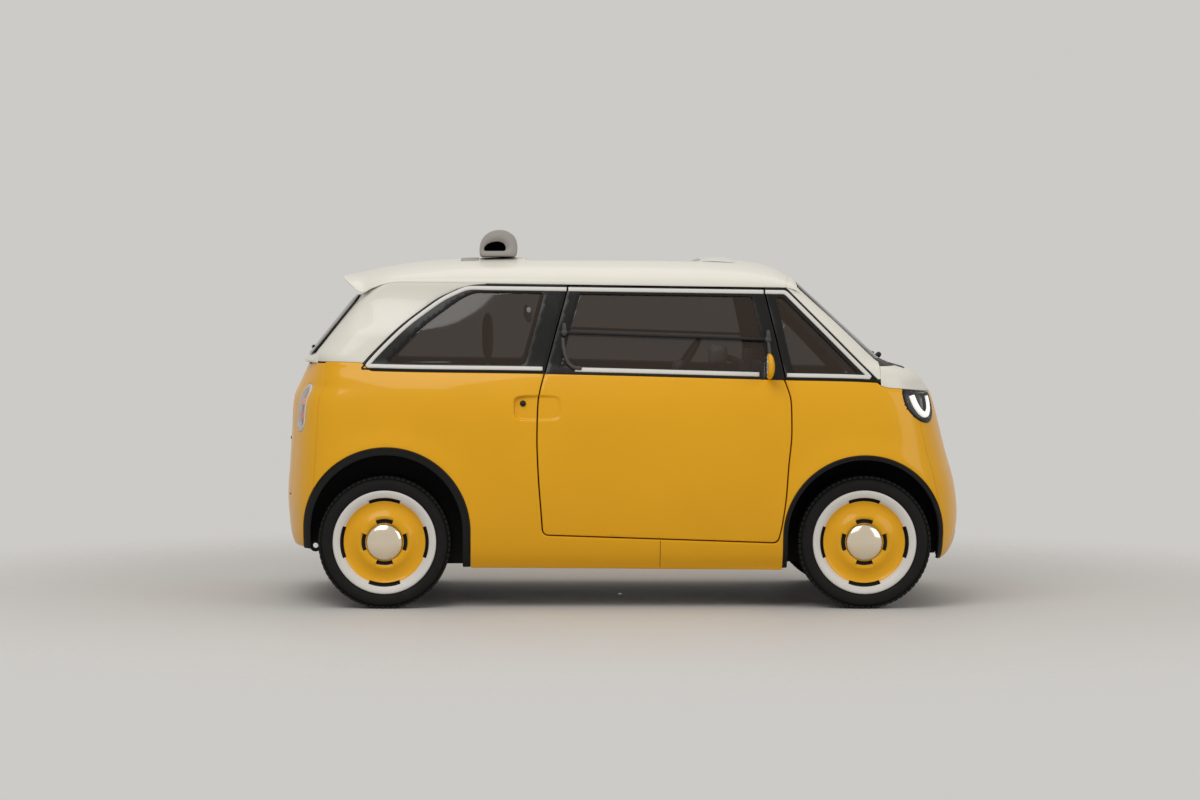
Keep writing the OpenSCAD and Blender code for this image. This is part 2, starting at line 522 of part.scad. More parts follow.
eye_r = 12;
module tow_eye(x, z, top) translate([x, 7 - rail_y, z]) rotate([90, 0, 0]) linear_extrude(14) difference() {
    union() { circle(28); translate([-28, 0]) square([56, top - z]); }
    circle(eye_r);
}
module battery_pack() color("#4a4b4d") block(step_x + 90, dash_x - 240, inner_y - 120, 186, floor_h - join);
module drive_unit() color("#6a6c70") {
    block(front_axle - 145, front_axle + 155, rail_y - 80, 340 + join, 700);
    for (x = [front_axle - 115, front_axle + 85]) block(x, x + 40, rail_y + 15, 340 + join, 372);
}

module liner(c, r, y_in, foot) {
    at = function (t, q) t < 0.12 ? [c[0] - q, mix(foot, c[1], t / 0.12)] :
        t > 0.88 ? [c[0] + q, mix(c[1], foot, (t - 0.88) / 0.12)] :
        let (a = 180 - 180 * (t - 0.12) / 0.76) [c[0] + q * cos(a), c[1] + q * sin(a)];
    edge = function (t) let (p = at(t, r)) side_y(p[0], p[1]) - 6;
    skin(function (u, v) let (p = at(u, r - seam)) [p[0], -mix(edge(u), y_in - 6, v), p[1]],
        function (u, v) let (p = at(u, r - seam - lip_t)) [p[0], -mix(edge(u), y_in - 6, v), p[1]], 25, 1);
}
module arch_liners() color(black) both() {
    liner(front_arch, front_arch_r, front_wall_y, 240);
    liner(rear_arch, rear_arch_r, rear_wall_y, 300);
}

// Cabin fittings
module dashboard() color(black) { dash_bar(); steering_column(); }
module dash_bar() across(-dash_y, dash_y) translate([dash_x, belt_h])
    polygon([[-join, -303], [-join, -33], [-60, -13], [-170, -33], [-220, -83], [-230, -163], [-160, -243]]);
steering_at = [front_axle - 775, body_w / 2 - 460, belt_h + 7];
module on_column() translate(steering_at) rotate([0, 90 + steering_rake, 0]) children();
module steering_column() on_column() {
    translate([0, 0, -20]) cylinder(r = 10, h = 60);
    translate([0, 0, 22]) cylinder(r = 28, h = 440);
}
module steering_wheel() color(black) on_column() {
    rotate_extrude() translate([steering_d / 2 - 14, 0]) circle(14, $fn = 24);
    difference() {
        union() {
            translate([0, 0, -16]) cylinder(r = 45, h = 36);
            translate([-steering_d / 2 + 20, -16, -6]) cube([steering_d - 40, 32, 12]);
        }
        translate([0, 0, -30]) cylinder(r = 10.06, h = 80);
    }
}
seat_y = body_w / 2 - 440;
seat_z = floor_h + floor_t + join;
seat_side = [[-230, seat_z], [230, seat_z], [262, 440], [252, 520], [200, 545], [60, 525],
    [-120, 520], [-165, 560],
    [-270, 1030], [-315, 1058], [-375, 1045], [-385, 990], [-290, 560]];
head_side = [[-320, 1090], [-308, 1200], [-330, 1230], [-385, 1222], [-400, 1100], [-380, 1085]];
module front_seat() {
    translate([0, seat_y + seat_w / 2, 0]) rotate([90, 0, 0]) linear_extrude(seat_w) polygon(seat_side);
    translate([0, seat_y + seat_w / 4, 0]) rotate([90, 0, 0]) linear_extrude(seat_w / 2) polygon(head_side);
    for (s = [-50, 50]) translate([-340, seat_y + s, 1000]) cylinder(r = 7, h = 130);
}
module front_seats() color("#3a3735") both() front_seat();
module rear_seat() color("#3a3735") {
    block(step_x + join, step_x + 230, inner_y - 80, seat_z, 560);
    block(step_x + join, step_x + 60 + join, inner_y - 80, 550, 1110);
    for (y = gate_ys) translate([step_x + 5, y - 90, 1100]) cube([47, 180, 228]);
}

// Suspension and wheels
arm_zs = [wheel_z - 108, wheel_z + 108];
module front_suspension() color("#3c3d40") {
    block(front_axle - 40, front_axle + 40, front_wall_y - 8, wheel_z - 130, 260 - join);
    both() {
        translate([front_axle - 30, -rail_y - 30, 340 + join]) cube([60, 60, 90]);
        for (z = arm_zs) difference() {
            union() {
                translate([front_axle, -tyre_y + 10, z]) rotate([-90, 0, 0])
                    cylinder(r = 13, h = tyre_y - rail_y + 10);
                translate([front_axle, -tyre_y, z - 17]) cylinder(r = 22, h = 34);
            }
            translate([front_axle, -tyre_y, z - 50]) cylinder(r = 9.06, h = 100);
        }
    }
}
module knuckle() {
    translate([front_axle - 24, -tyre_y - 16, arm_zs[0] + 17.3]) cube([48, 32, arm_zs[1] - arm_zs[0] - 34.6]);
    for (z = arm_zs) translate([front_axle, -tyre_y, z - 20]) cylinder(r = 9, h = 40);
    translate([front_axle, -tyre_y + 14, wheel_z]) rotate([90, 0, 0]) cylinder(r = 42, h = 40);
    translate([front_axle, -tyre_y - 20, wheel_z]) rotate([90, 0, 0]) cylinder(r = 15, h = 44);
}
module knuckle_right() color("#55575a") knuckle();
module knuckle_left() color("#55575a") mirror([0, 1, 0]) knuckle();
module rear_axle() color("#3c3d40") {
    translate([rear_axle, tyre_y - 40, wheel_z]) rotate([90, 0, 0]) cylinder(r = 28, h = 2 * tyre_y - 80);
    both() {
        translate([rear_axle, -tyre_y + 42, wheel_z]) rotate([90, 0, 0]) cylinder(r = 80, h = 16);
        translate([rear_axle, -tyre_y + 30, wheel_z]) rotate([90, 0, 0]) cylinder(r = 15, h = 94);
        translate([rear_axle, -rail_y - 140, wheel_z - 20]) cube([step_x - 20 - join - rear_axle, 40, 40]);
        translate([rear_axle + 60, -rail_y - 120, wheel_z + 15])
            cylinder(r = 38, h = rear_floor - join - wheel_z - 15);
    }
}
module on_hub(x, s) translate([x, s * tyre_y, wheel_z]) rotate([s > 0 ? -90 : 90, 0, 0]) children();
module tyre_ring() rotate_extrude($fn = 72) difference() {
    union() { translate([0, -tyre_w / 2 + 26]) square([tyre_d / 2 - 4, tyre_w - 52]);
        translate([0, -tyre_w / 2]) square([tyre_d / 2 - 30, tyre_w]);
        translate([tyre_d / 2 - 30, -tyre_w / 2 + 30]) circle(30);
        translate([tyre_d / 2 - 30, tyre_w / 2 - 30]) circle(30);
        translate([0, -tyre_w / 2 + 55]) square([tyre_d / 2, tyre_w - 110]); }
    translate([-1, -200]) square([rim_d / 2 - 22.7, 400]);
    for (s = [-1, 1]) translate([-1, s > 0 ? 64 : -264]) square([rim_d / 2 + 2.5, 200]);
}
module wheel_disc() difference() {
    rotate_extrude($fn = 96) polygon([[0, 66], [0, 88], [25, 86.5], [48, 82], [68, 75], [80, 67],
        [84, 64], [90, 66], [100, 70], [122, 66], [150, 52], [184, 58], [192, 68], [200, 74],
        [rim_d / 2 - 6, 84], [rim_d / 2, 80], [rim_d / 2, 72], [rim_d / 2 - 24, 66],
        [rim_d / 2 - 24, -76], [rim_d / 2 - 34, -76],
        [rim_d / 2 - 40, 48], [150, 42], [60, 46], [50, 26], [15.06, 26], [15.06, 66]]);
    for (a = [0 : 90 : 270]) rotate(a - 20) rotate_extrude(angle = 40) translate([185, 30]) square([11, 80]);
}
module tyre_fr() color(black) on_hub(front_axle, -1) tyre_ring();
module tyre_fl() color(black) on_hub(front_axle, 1) tyre_ring();
module tyre_rr() color(black) on_hub(rear_axle, -1) tyre_ring();
module tyre_rl() color(black) on_hub(rear_axle, 1) tyre_ring();
module wheel_fr() color(yellow) on_hub(front_axle, -1) wheel_disc();
module wheel_fl() color(yellow) on_hub(front_axle, 1) wheel_disc();
module wheel_rr() color(yellow) on_hub(rear_axle, -1) wheel_disc();
module wheel_rl() color(yellow) on_hub(rear_axle, 1) wheel_disc();

// Fabric roof rolled back behind its opening
roll_at = [-573, roof_h - 2.8];
module roof_roll() color("#77736c") translate([roll_at[0], 0, roll_at[1]]) rotate([90, 0, 0])
    linear_extrude(2 * roof_open_y - 40, center = true) difference() {
    union() {
        translate([-86, 2]) square([172, 58]);
        translate([24, 62]) circle(60);
        translate([-50, 56]) circle(36);
        translate([-50, 60]) square([74, 40]);
    }
    translate([-66, 26]) square([100, 46]);
}
function wiper_at(u, v) = nose(mix(-90, lid_y - 86, u), lift(mix(1127, 1136, v) + 16 * u));
module wiper() shell(function (u, v) wiper_at(u, v) + 10.1 * [0.74, 0, 0.67], 8, 1, 9);

floor_pan();
sills();
battery_pack();
drive_unit();
front_fenders();
rear_quarters();
nose_panel();
tail_panel();
roof();
pillars();
wing_caps();
cowl();
side_frames();
glazing();
arch_liners();
dashboard();
front_seats();
rear_seat();
front_suspension();
rear_axle();
lamps();
roof_roll();
door_right();
door_frame_right();
door_glass_right();
mirror_right();
door_left();
door_frame_left();
door_glass_left();
mirror_left();
tailgate_panel();
tailgate_frame();
tailgate_glass();
bonnet();
steering_wheel();
knuckle_right();
knuckle_left();
tyre_fr();
tyre_fl();
tyre_rr();
tyre_rl();
wheel_fr();
wheel_fl();
wheel_rr();
wheel_rl();
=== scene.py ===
"""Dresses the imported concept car: smooth body panels, glazing, trim, wheels, seats and studio.

The body surfaces repeat the formulas of the part's source, in millimetres, and every mesh is
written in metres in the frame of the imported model.
"""

from __future__ import annotations

import json
import logging
import math
from dataclasses import dataclass, field
from enum import Enum
from typing import Callable, Sequence

import bpy
import numpy as np
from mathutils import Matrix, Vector
from mathutils.geometry import delaunay_2d_cdt

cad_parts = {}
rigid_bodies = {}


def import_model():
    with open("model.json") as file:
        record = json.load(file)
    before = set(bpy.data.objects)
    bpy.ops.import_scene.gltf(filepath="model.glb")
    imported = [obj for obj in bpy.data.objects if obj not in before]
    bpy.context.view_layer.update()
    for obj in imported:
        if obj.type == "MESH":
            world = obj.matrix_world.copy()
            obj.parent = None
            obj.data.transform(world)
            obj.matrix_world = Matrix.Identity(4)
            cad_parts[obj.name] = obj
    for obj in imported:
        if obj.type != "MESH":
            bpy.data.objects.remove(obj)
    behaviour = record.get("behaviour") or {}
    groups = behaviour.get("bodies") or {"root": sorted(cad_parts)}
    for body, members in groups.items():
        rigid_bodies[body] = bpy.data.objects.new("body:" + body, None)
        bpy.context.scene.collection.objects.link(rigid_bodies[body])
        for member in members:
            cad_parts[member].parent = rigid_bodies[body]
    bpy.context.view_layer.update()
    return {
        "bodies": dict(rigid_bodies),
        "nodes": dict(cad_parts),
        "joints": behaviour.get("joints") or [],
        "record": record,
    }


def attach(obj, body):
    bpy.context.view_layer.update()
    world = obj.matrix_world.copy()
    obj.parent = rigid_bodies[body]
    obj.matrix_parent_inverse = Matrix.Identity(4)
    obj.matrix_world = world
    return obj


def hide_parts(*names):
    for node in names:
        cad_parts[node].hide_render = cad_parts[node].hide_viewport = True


LOG = logging.getLogger("concept_car")
MM = 0.001
Array = np.ndarray
Surface = Callable[[Array, Array], Array]


class Slot(str, Enum):
    """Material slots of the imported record."""

    BODY = "body_colour"
    WHITE = "white_paint"
    GLASS = "tinted_glass"
    LENS = "lamp_lens"
    FABRIC = "fabric"
    ALLOY = "alloy"
    STEEL = "dark_steel"
    TRIM = "black_trim"
    TYRE = "tyre"


# Shader maths


class Sock:
    """A shader socket whose operators add Math nodes."""

    def __init__(self, tree: bpy.types.NodeTree, out: bpy.types.NodeSocket) -> None:
        """Keeps the tree and the output socket."""
        self.tree = tree
        self.out = out

    def _math(self, operation: str, a: "Sock | float", b: "Sock | float") -> "Sock":
        """Adds one Math node.

        Args:
            operation: The node's operation.
            a: First operand.
            b: Second operand.

        Returns:
            The node's result.
        """
        node = self.tree.nodes.new("ShaderNodeMath")
        node.operation = operation
        for slot, value in zip(node.inputs, (a, b)):
            if isinstance(value, Sock):
                self.tree.links.new(value.out, slot)
            else:
                slot.default_value = float(value)
        return Sock(self.tree, node.outputs[0])

    def __add__(self, other: "Sock | float") -> "Sock":
        """Adds."""
        return self._math("ADD", self, other)

    __radd__ = __add__

    def __sub__(self, other: "Sock | float") -> "Sock":
        """Subtracts."""
        return self._math("SUBTRACT", self, other)

    def __rsub__(self, other: float) -> "Sock":
        """Subtracts this from a number."""
        return self._math("SUBTRACT", other, self)

    def __mul__(self, other: "Sock | float") -> "Sock":
        """Multiplies."""
        return self._math("MULTIPLY", self, other)

    __rmul__ = __mul__

    def __pow__(self, other: float) -> "Sock":
        """Raises to a power."""
        return self._math("POWER", self, other)


class ShaderKit:
    """Builds one material's node tree around a Principled shader."""

    def __init__(self, name: str) -> None:
        """Makes an empty material with a Principled shader.

        Args:
            name: The material's name.
        """
        self.material = bpy.data.materials.new(name)
        self.material.use_nodes = True
        self.tree = self.material.node_tree
        self.bsdf = self.tree.nodes["Principled BSDF"]
        self.coords = self.node("ShaderNodeTexCoord").outputs["Object"]

    def node(self, kind: str, settings: dict | None = None, **inputs: object) -> bpy.types.Node:
        """Adds a node.

        Args:
            kind: The node's type.
            settings: Attributes that are set first.
            **inputs: Values or links by socket name, with _ for a space.

        Returns:
            The node.
        """
        made = self.tree.nodes.new(kind)
        for key, value in (settings or {}).items():
            setattr(made, key, value)
        for key, value in inputs.items():
            self.feed(made.inputs[key.replace("_", " ")], value)
        return made

    def feed(self, socket: bpy.types.NodeSocket, value: object) -> None:
        """Links or sets a socket."""
        if isinstance(value, Sock):
            self.tree.links.new(value.out, socket)
        elif isinstance(value, bpy.types.NodeSocket):
            self.tree.links.new(value, socket)
        else:
            socket.default_value = value

    def noise(self, scale: float, detail: float = 3.0, roughness: float = 0.5) -> Sock:
        """Noise in object space, about 0 to 1."""
        sizes = {"Scale": scale, "Detail": detail, "Roughness": roughness}
        made = self.node("ShaderNodeTexNoise", Vector=self.coords, **sizes)
        return Sock(self.tree, made.outputs[0])

    def wave(self, scale: float, axis: str, distortion: float = 0.0) -> Sock:
        """Bands across one axis of object space."""
        sizes = {"Scale": scale, "Distortion": distortion}
        made = self.node("ShaderNodeTexWave", {"bands_direction": axis}, Vector=self.coords, **sizes)
        return Sock(self.tree, made.outputs["Fac"])

    def blend(self, low: Sequence[float], high: Sequence[float], factor: Sock) -> bpy.types.NodeSocket:
        """Mixes two colours.

        Args:
            low: Colour at 0.
            high: Colour at 1.
            factor: The share of the second colour.

        Returns:
            The mixed colour's socket.
        """
        made = self.node("ShaderNodeMix", {"data_type": "RGBA"})
        self.tree.links.new(factor.out, made.inputs[0])
        made.inputs[6].default_value = (*low, 1.0)
        made.inputs[7].default_value = (*high, 1.0)
        return made.outputs[2]

    def bump(self, height: Sock, distance: float, strength: float = 0.5) -> None:
        """Feeds a height to the shader's normal through a Bump node."""
        made = self.node("ShaderNodeBump", Height=height, Distance=distance, Strength=strength)
        self.tree.links.new(made.outputs[0], self.bsdf.inputs["Normal"])

    def set(self, **values: object) -> None:
        """Sets or links the Principled shader's sockets by name, with _ for a space."""
        for key, value in values.items():
            self.feed(self.bsdf.inputs[key.replace("_", " ")], value)


@dataclass(frozen=True)
class Paint:
    """Gloss car paint with a faint mottle, orange peel and a clear coat."""

    name: str
    low: tuple[float, float, float]
    high: tuple[float, float, float]
    roughness: float = 0.34
    coat: float = 0.3

    def build(self) -> bpy.types.Material:
        """Returns the material."""
        kit = ShaderKit(self.name)
        mottle = kit.noise(3.0, 2.0)
        kit.set(Base_Color=kit.blend(self.low, self.high, mottle), Coat_Weight=self.coat, Coat_Roughness=0.04)
        kit.set(Roughness=self.roughness + 0.08 * kit.noise(40.0), Specular_IOR_Level=0.2)
        kit.bump(kit.noise(260.0, 1.0), 0.0002, 0.12)
        return kit.material


@dataclass(frozen=True)
class Plastic:
    """Moulded plastic with a fine grain."""

    name: str
    low: tuple[float, float, float]
    high: tuple[float, float, float]
    roughness: float = 0.5
    grain: float = 900.0
    relief: float = 0.25

    def build(self) -> bpy.types.Material:
        """Returns the material."""
        kit = ShaderKit(self.name)
        kit.set(Base_Color=kit.blend(self.low, self.high, kit.noise(14.0)))
        kit.set(Roughness=self.roughness + 0.15 * (kit.noise(60.0) - 0.5), Specular_IOR_Level=0.3)
        kit.bump(kit.noise(self.grain, 2.0), 0.0006, self.relief)
        return kit.material


@dataclass(frozen=True)
class Glass:
    """Tinted glass that lets the cabin show through."""

    name: str
    tint: tuple[float, float, float]
    alpha: float

    def build(self) -> bpy.types.Material:
        """Returns the material."""
        kit = ShaderKit(self.name)
        darker = tuple(0.7 * c for c in self.tint)
        kit.set(Base_Color=kit.blend(self.tint, darker, kit.noise(2.0)), Alpha=self.alpha)
        kit.set(Roughness=0.03 + 0.02 * kit.noise(5.0), Specular_IOR_Level=0.5)
        return kit.material


@dataclass(frozen=True)
class Metal:
    """Satin or polished metal with a faint brushed grain."""

    name: str
    low: tuple[float, float, float]
    high: tuple[float, float, float]
    roughness: float = 0.25

    def build(self) -> bpy.types.Material:
        """Returns the material."""
        kit = ShaderKit(self.name)
        kit.set(Base_Color=kit.blend(self.low, self.high, kit.noise(20.0)), Metallic=1.0)
        kit.set(Roughness=self.roughness + 0.05 * kit.noise(30.0))
        kit.bump(kit.noise(90.0, 1.0), 0.0002, 0.03)
        return kit.material


@dataclass(frozen=True)
class Cloth:
    """Woven cloth: crossed threads with a soft sheen."""

    name: str
    low: tuple[float, float, float]
    high: tuple[float, float, float]
    thread: float = 260.0

    def build(self) -> bpy.types.Material:
        """Returns the material."""
        kit = ShaderKit(self.name)
        weave = kit.wave(self.thread, "Y", 0.6) * 0.5 + kit.wave(self.thread, "Z", 0.6) * 0.5
        kit.set(Base_Color=kit.blend(self.low, self.high, weave * 0.7 + kit.noise(9.0) * 0.3))
        kit.set(Roughness=0.8 + 0.1 * kit.noise(50.0), Sheen_Weight=0.3, Sheen_Roughness=0.5)
        kit.bump(weave, 0.001, 0.4)
        return kit.material


@dataclass(frozen=True)
class Rubber:
    """Tyre rubber, slightly dusty."""

    name: str
    low: tuple[float, float, float] = (0.004, 0.004, 0.004)
    high: tuple[float, float, float] = (0.010, 0.0095, 0.009)

    def build(self) -> bpy.types.Material:
        """Returns the material."""
        kit = ShaderKit(self.name)
        kit.set(Base_Color=kit.blend(self.low, self.high, kit.noise(10.0, 5.0)))
        kit.set(Roughness=0.6 + 0.25 * kit.noise(30.0), Specular_IOR_Level=0.22)
        kit.bump(kit.noise(700.0, 2.0), 0.0006, 0.3)
        return kit.material


@dataclass(frozen=True)
class Glow:
    """A lamp element that is lit."""

    name: str
    colour: tuple[float, float, float]
    strength: float

    def build(self) -> bpy.types.Material:
        """Returns the material."""
        kit = ShaderKit(self.name)
        dim = tuple(0.85 * c for c in self.colour)
        shade = kit.blend(dim, self.colour, kit.noise(60.0))
        kit.set(Base_Color=shade, Emission_Color=shade, Emission_Strength=self.strength, Roughness=0.25)
        return kit.material


class Palette:
    """Every finish of the car, built once and kept by name."""

    FINISHES = (
        Paint("yellow_paint", (0.76, 0.365, 0.002), (0.82, 0.405, 0.004)),
        Paint("white_paint", (0.73, 0.70, 0.62), (0.77, 0.74, 0.66)),
        Plastic("black_gloss", (0.004, 0.004, 0.004), (0.008, 0.0075, 0.007), 0.2, 300.0, 0.05),
        Plastic("black_plastic", (0.005, 0.005, 0.005), (0.012, 0.0115, 0.011), 0.5),
        Plastic("grey_plastic", (0.16, 0.155, 0.15), (0.21, 0.205, 0.2), 0.45),
        Plastic("shade_black", (0.004, 0.004, 0.004), (0.008, 0.008, 0.008), 0.8),
        Plastic("white_trim", (0.66, 0.64, 0.6), (0.72, 0.7, 0.66), 0.3, 500.0, 0.06),
        Glass("side_glass", (0.026, 0.012, 0.005), 0.8),
        Glass("screen_glass", (0.018, 0.011, 0.007), 0.76),
        Glass("lamp_cover", (0.35, 0.35, 0.36), 0.16),
        Glass("tail_cover", (0.7, 0.68, 0.66), 0.35),
        Metal("champagne_metal", (0.84, 0.73, 0.56), (0.88, 0.78, 0.62), 0.12),
        Metal("mirror_silver", (0.86, 0.87, 0.88), (0.9, 0.9, 0.91), 0.03),
        Metal("cast_alloy", (0.42, 0.42, 0.43), (0.52, 0.52, 0.53), 0.45),
        Plastic("chassis_black", (0.015, 0.015, 0.016), (0.035, 0.035, 0.036), 0.55, 200.0, 0.3),
        Cloth("seat_cloth", (0.075, 0.07, 0.065), (0.17, 0.16, 0.15)),
        Cloth("roof_canvas", (0.27, 0.25, 0.225), (0.42, 0.40, 0.365), 420.0),
        Plastic("pale_plastic", (0.46, 0.45, 0.43), (0.54, 0.53, 0.51), 0.4),
        Plastic("rail_grey", (0.045, 0.042, 0.039), (0.075, 0.07, 0.066), 0.4),
        Rubber("tyre_rubber"),
        Glow("white_light", (1.0, 0.98, 0.94), 0.7),
        Glow("red_light", (0.6, 0.03, 0.015), 0.25),
        Glow("amber_light", (0.85, 0.25, 0.02), 0.25),
    )

    def __init__(self) -> None:
        """Builds the materials."""
        self.by_name = {finish.name: finish.build() for finish in self.FINISHES}

    def __getitem__(self, name: str) -> bpy.types.Material:
        """Returns the material of that name."""
        return self.by_name[name]


# Shapes of the body, in millimetres


@dataclass(frozen=True)
class Curve:
    """A smooth curve through rows of (place, value), held level past its ends."""

    rows: tuple[tuple[float, float], ...]

    def __call__(self, x: Array | float) -> Array:
        """Returns the value at each place."""
        table = np.array(self.rows, float)
        place, value = table[:, 0], table[:, 1]
        last = len(place) - 1
        before = np.maximum(np.arange(last + 1) - 1, 0)
        after = np.minimum(np.arange(last + 1) + 1, last)
        slope = (value[after] - value[before]) / (place[after] - place[before])
        x = np.clip(np.asarray(x, float), place[0], place[-1])
        i = np.clip(np.searchsorted(place, x, side="right") - 1, 0, last - 1)
        h = place[i + 1] - place[i]
        s = (x - place[i]) / h
        start = (2 * s**3 - 3 * s**2 + 1) * value[i] + (s**3 - 2 * s**2 + s) * slope[i] * h
        return start + (3 * s**2 - 2 * s**3) * value[i + 1] + (s**3 - s**2) * slope[i + 1] * h


FRONT_AXLE = 1075.0
REAR_AXLE = -1085.0
ROOF_H = 1587.0
RAIL_H = 1455.0
BELT_H = 1043.0
SHUT_GAP = 6.0
POST_FOOT = FRONT_AXLE + 71
SCREEN_SHARE = 0.8837


@dataclass(frozen=True)
class BodyForm:
    """The surfaces and edges that all body panels share."""

    half: float = 780.0
    corner_q: float = 2.2
    front_arch: tuple[float, float, float] = (1071.0, 328.0, 366.0)
    rear_arch: tuple[float, float, float] = (-1077.0, 350.0, 380.0)
    flare_h: float = 10.0
    flare_w: float = 60.0
    sill_h: float = 178.0
    inset: Curve = Curve(
        ((178, 92), (240, 54), (330, 30), (480, 9), (650, 0), (820, 4), (940, 17), (1020, 36), (1075, 56),
         (1107, 66), (1200, 86), (1330, 114), (1455, 146), (1520, 166))
    )
    nose_reach: Curve = Curve(
        ((178, 372), (235, 441), (320, 472), (430, 480), (560, 463), (700, 424), (830, 392), (960, 357),
         (1005, 330), (1040, 303), (1070, 260), (1085, 215), (1095, 178), (1110, 138), (1124, 112),
         (1200, 29), (1300, -80), (1400, -189), (1479, -275), (1530, -331))
    )
    tail_reach: Curve = Curve(
        ((178, 385), (285, 446), (400, 463), (500, 468), (650, 459), (800, 450), (940, 440), (1010, 409),
         (1110, 364), (1142, 358), (1200, 313), (1300, 233), (1420, 137), (1520, 57))
    )
    corner_p: Curve = Curve(((1000, 18), (1130, 28)))
    door_front_in: Curve = Curve(
        ((300, 396), (327, 389), (377, 378), (489, 362), (647, 349), (759, 337), (827, 335), (939, 338),
         (984, 349), (1029, 365), (1060, 377))
    )
    door_rear_in: Curve = Curve(
        ((300, 717), (330, 715), (449, 706), (575, 696), (721, 689), (819, 689), (936, 694), (999, 706),
         (1058, 722))
    )
    body_top: Curve = Curve(
        ((REAR_AXLE - 460, 67), (REAR_AXLE - 104, 64), (REAR_AXLE - 80, 42), (REAR_AXLE - 56, 28),
         (REAR_AXLE + 720, 15), (FRONT_AXLE - 360, -13), (FRONT_AXLE + 52, -25), (FRONT_AXLE + 75, -41),
         (FRONT_AXLE + 110, -49), (FRONT_AXLE + 160, -53), (FRONT_AXLE + 340, -72))
    )
    roof_drop: Curve = Curve(
        ((REAR_AXLE - 195, 84), (REAR_AXLE - 115, 68), (REAR_AXLE - 15, 46), (REAR_AXLE + 135, 24),
         (REAR_AXLE + 335, 7), (REAR_AXLE + 785, 0), (FRONT_AXLE - 775, 4), (FRONT_AXLE - 525, 17),
         (FRONT_AXLE - 395, 42), (FRONT_AXLE - 315, 82), (FRONT_AXLE - 290, 100))
    )
    eaves: Curve = Curve(
        ((REAR_AXLE - 195, 40), (REAR_AXLE - 112, -34), (REAR_AXLE - 60, -14), (REAR_AXLE, 6),
         (REAR_AXLE + 60, 14))
    )
    window_rear: Curve = Curve(
        ((1040, -140), (1107, -92), (1162, -42), (1271, 71), (1357, 184), (1402, 252), (1422, 297),
         (1447, 360), (1462, 470))
    )

    def half_w(self, z: Array) -> Array:
        """Half width at a height."""
        return self.half - self.inset(z)

    def nose_x(self, z: Array) -> Array:
        """Foremost place at a height."""
        return FRONT_AXLE + self.nose_reach(z)

    def tail_x(self, z: Array) -> Array:
        """Rearmost place at a height."""
        return REAR_AXLE - self.tail_reach(z)

    def plan_y(self, x: Array, z: Array) -> Array:
        """Half width at a place along the car and a height."""
        x = np.asarray(x, float)
        reach = np.where(x > 0, self.nose_x(z), -self.tail_x(z))
        share = np.clip(np.abs(x) / reach, 0, 0.99999)
        return self.half_w(z) * (1 - share ** self.corner_p(z)) ** (1 / self.corner_q)

    def plan_x(self, y: Array, z: Array, end: int) -> Array:
        """Place of the front (end 1) or rear (end -1) face."""
        reach = self.nose_x(z) if end > 0 else self.tail_x(z)
        share = np.clip(np.abs(y) / self.half_w(z), 0, 0.99999)
        return reach * (1 - share**self.corner_q) ** (1 / self.corner_p(z))

    def flare(self, x: Array, z: Array) -> Array:
        """How far the body swells round the wheel arches."""
        total = 0.0
        for cx, cz, radius in (self.front_arch, self.rear_arch):
            far = np.where(z > cz, np.hypot(x - cx, z - cz), np.abs(x - cx))
            total = total + self.flare_h * np.exp(-(((far - radius) / self.flare_w) ** 2))
        return total

    def side(self, x: Array, z: Array) -> Array:
        """Points of the right-hand lower body."""
        return np.stack([x, -(self.plan_y(x, z) + self.flare(x, z)), z], -1)

    def rail_z(self, x: Array) -> Array:
        """Lower edge of the roof."""
        x = np.asarray(x, float)
        return RAIL_H + np.where(x > REAR_AXLE + 60, -0.0138 * x, self.eaves(x))

    def crown_z(self, x: Array) -> Array:
        """Height of the roof's middle line."""
        return ROOF_H - self.roof_drop(x)

    def roof_half(self, x: Array) -> Array:
        """Half width of the roof's lower edge."""
        return self.half_w(RAIL_H) - 38 * ((np.asarray(x, float) + 150) / 1000) ** 4

    def cabin(self, x: Array, z: Array) -> Array:
        """Points of the right-hand glazed side, which meets the roof's edge."""
        rise = np.clip((z - 1230) / np.maximum(self.rail_z(x) - 1230, 1), 0, 1)
        ease = rise * rise * (3 - 2 * rise)
        at = np.clip(x, REAR_AXLE + 85, FRONT_AXLE - 355)
        step = self.roof_half(at) - self.plan_y(at, self.rail_z(at))
        return np.stack([x, -(self.plan_y(x, z) + ease * step), z], -1)

    def nose(self, y: Array, z: Array) -> Array:
        """Points of the front face."""
        return np.stack([self.plan_x(y, z, 1), y, z], -1)

    def tail(self, u: Array, z: Array) -> Array:
        """Points of the rear face, u running to the right."""
        return np.stack([self.plan_x(u, z, -1), -u, z], -1)

    def top_z(self, x: Array) -> Array:
        """Upper edge of the yellow body."""
        return BELT_H + self.body_top(x)

    def door_front(self, z: Array) -> Array:
        """Front edge of the door."""
        return FRONT_AXLE - self.door_front_in(z)

    def door_rear(self, z: Array) -> Array:
        """Rear edge of the door."""
        return REAR_AXLE + self.door_rear_in(z)

    def door_foot(self, x: Array) -> Array:
        """Lower edge of the door."""
        return 324 - 0.034 * np.asarray(x, float)

    def corner_y(self, z: Array) -> Array:
        """Where the front and rear faces end at the sides."""
        return 0.92 * self.half_w(z)

    def pillar_b(self, z: Array) -> Array:
        """Rear edge of the door's window frame."""
        return REAR_AXLE + 723 + 0.274 * (z - 1058)

    def pillar_a(self, z: Array) -> Array:
        """Front edge of the door's window frame."""
        return FRONT_AXLE - 359 - 0.218 * (z - 1031)

    def window_front(self, z: Array) -> Array:
        """Front edge of the side windows."""
        return FRONT_AXLE - 341 + 0.973 * (1443 - z)

    def window_back(self, z: Array) -> Array:
        """Rear edge of the side windows."""
        return REAR_AXLE + self.window_rear(z)

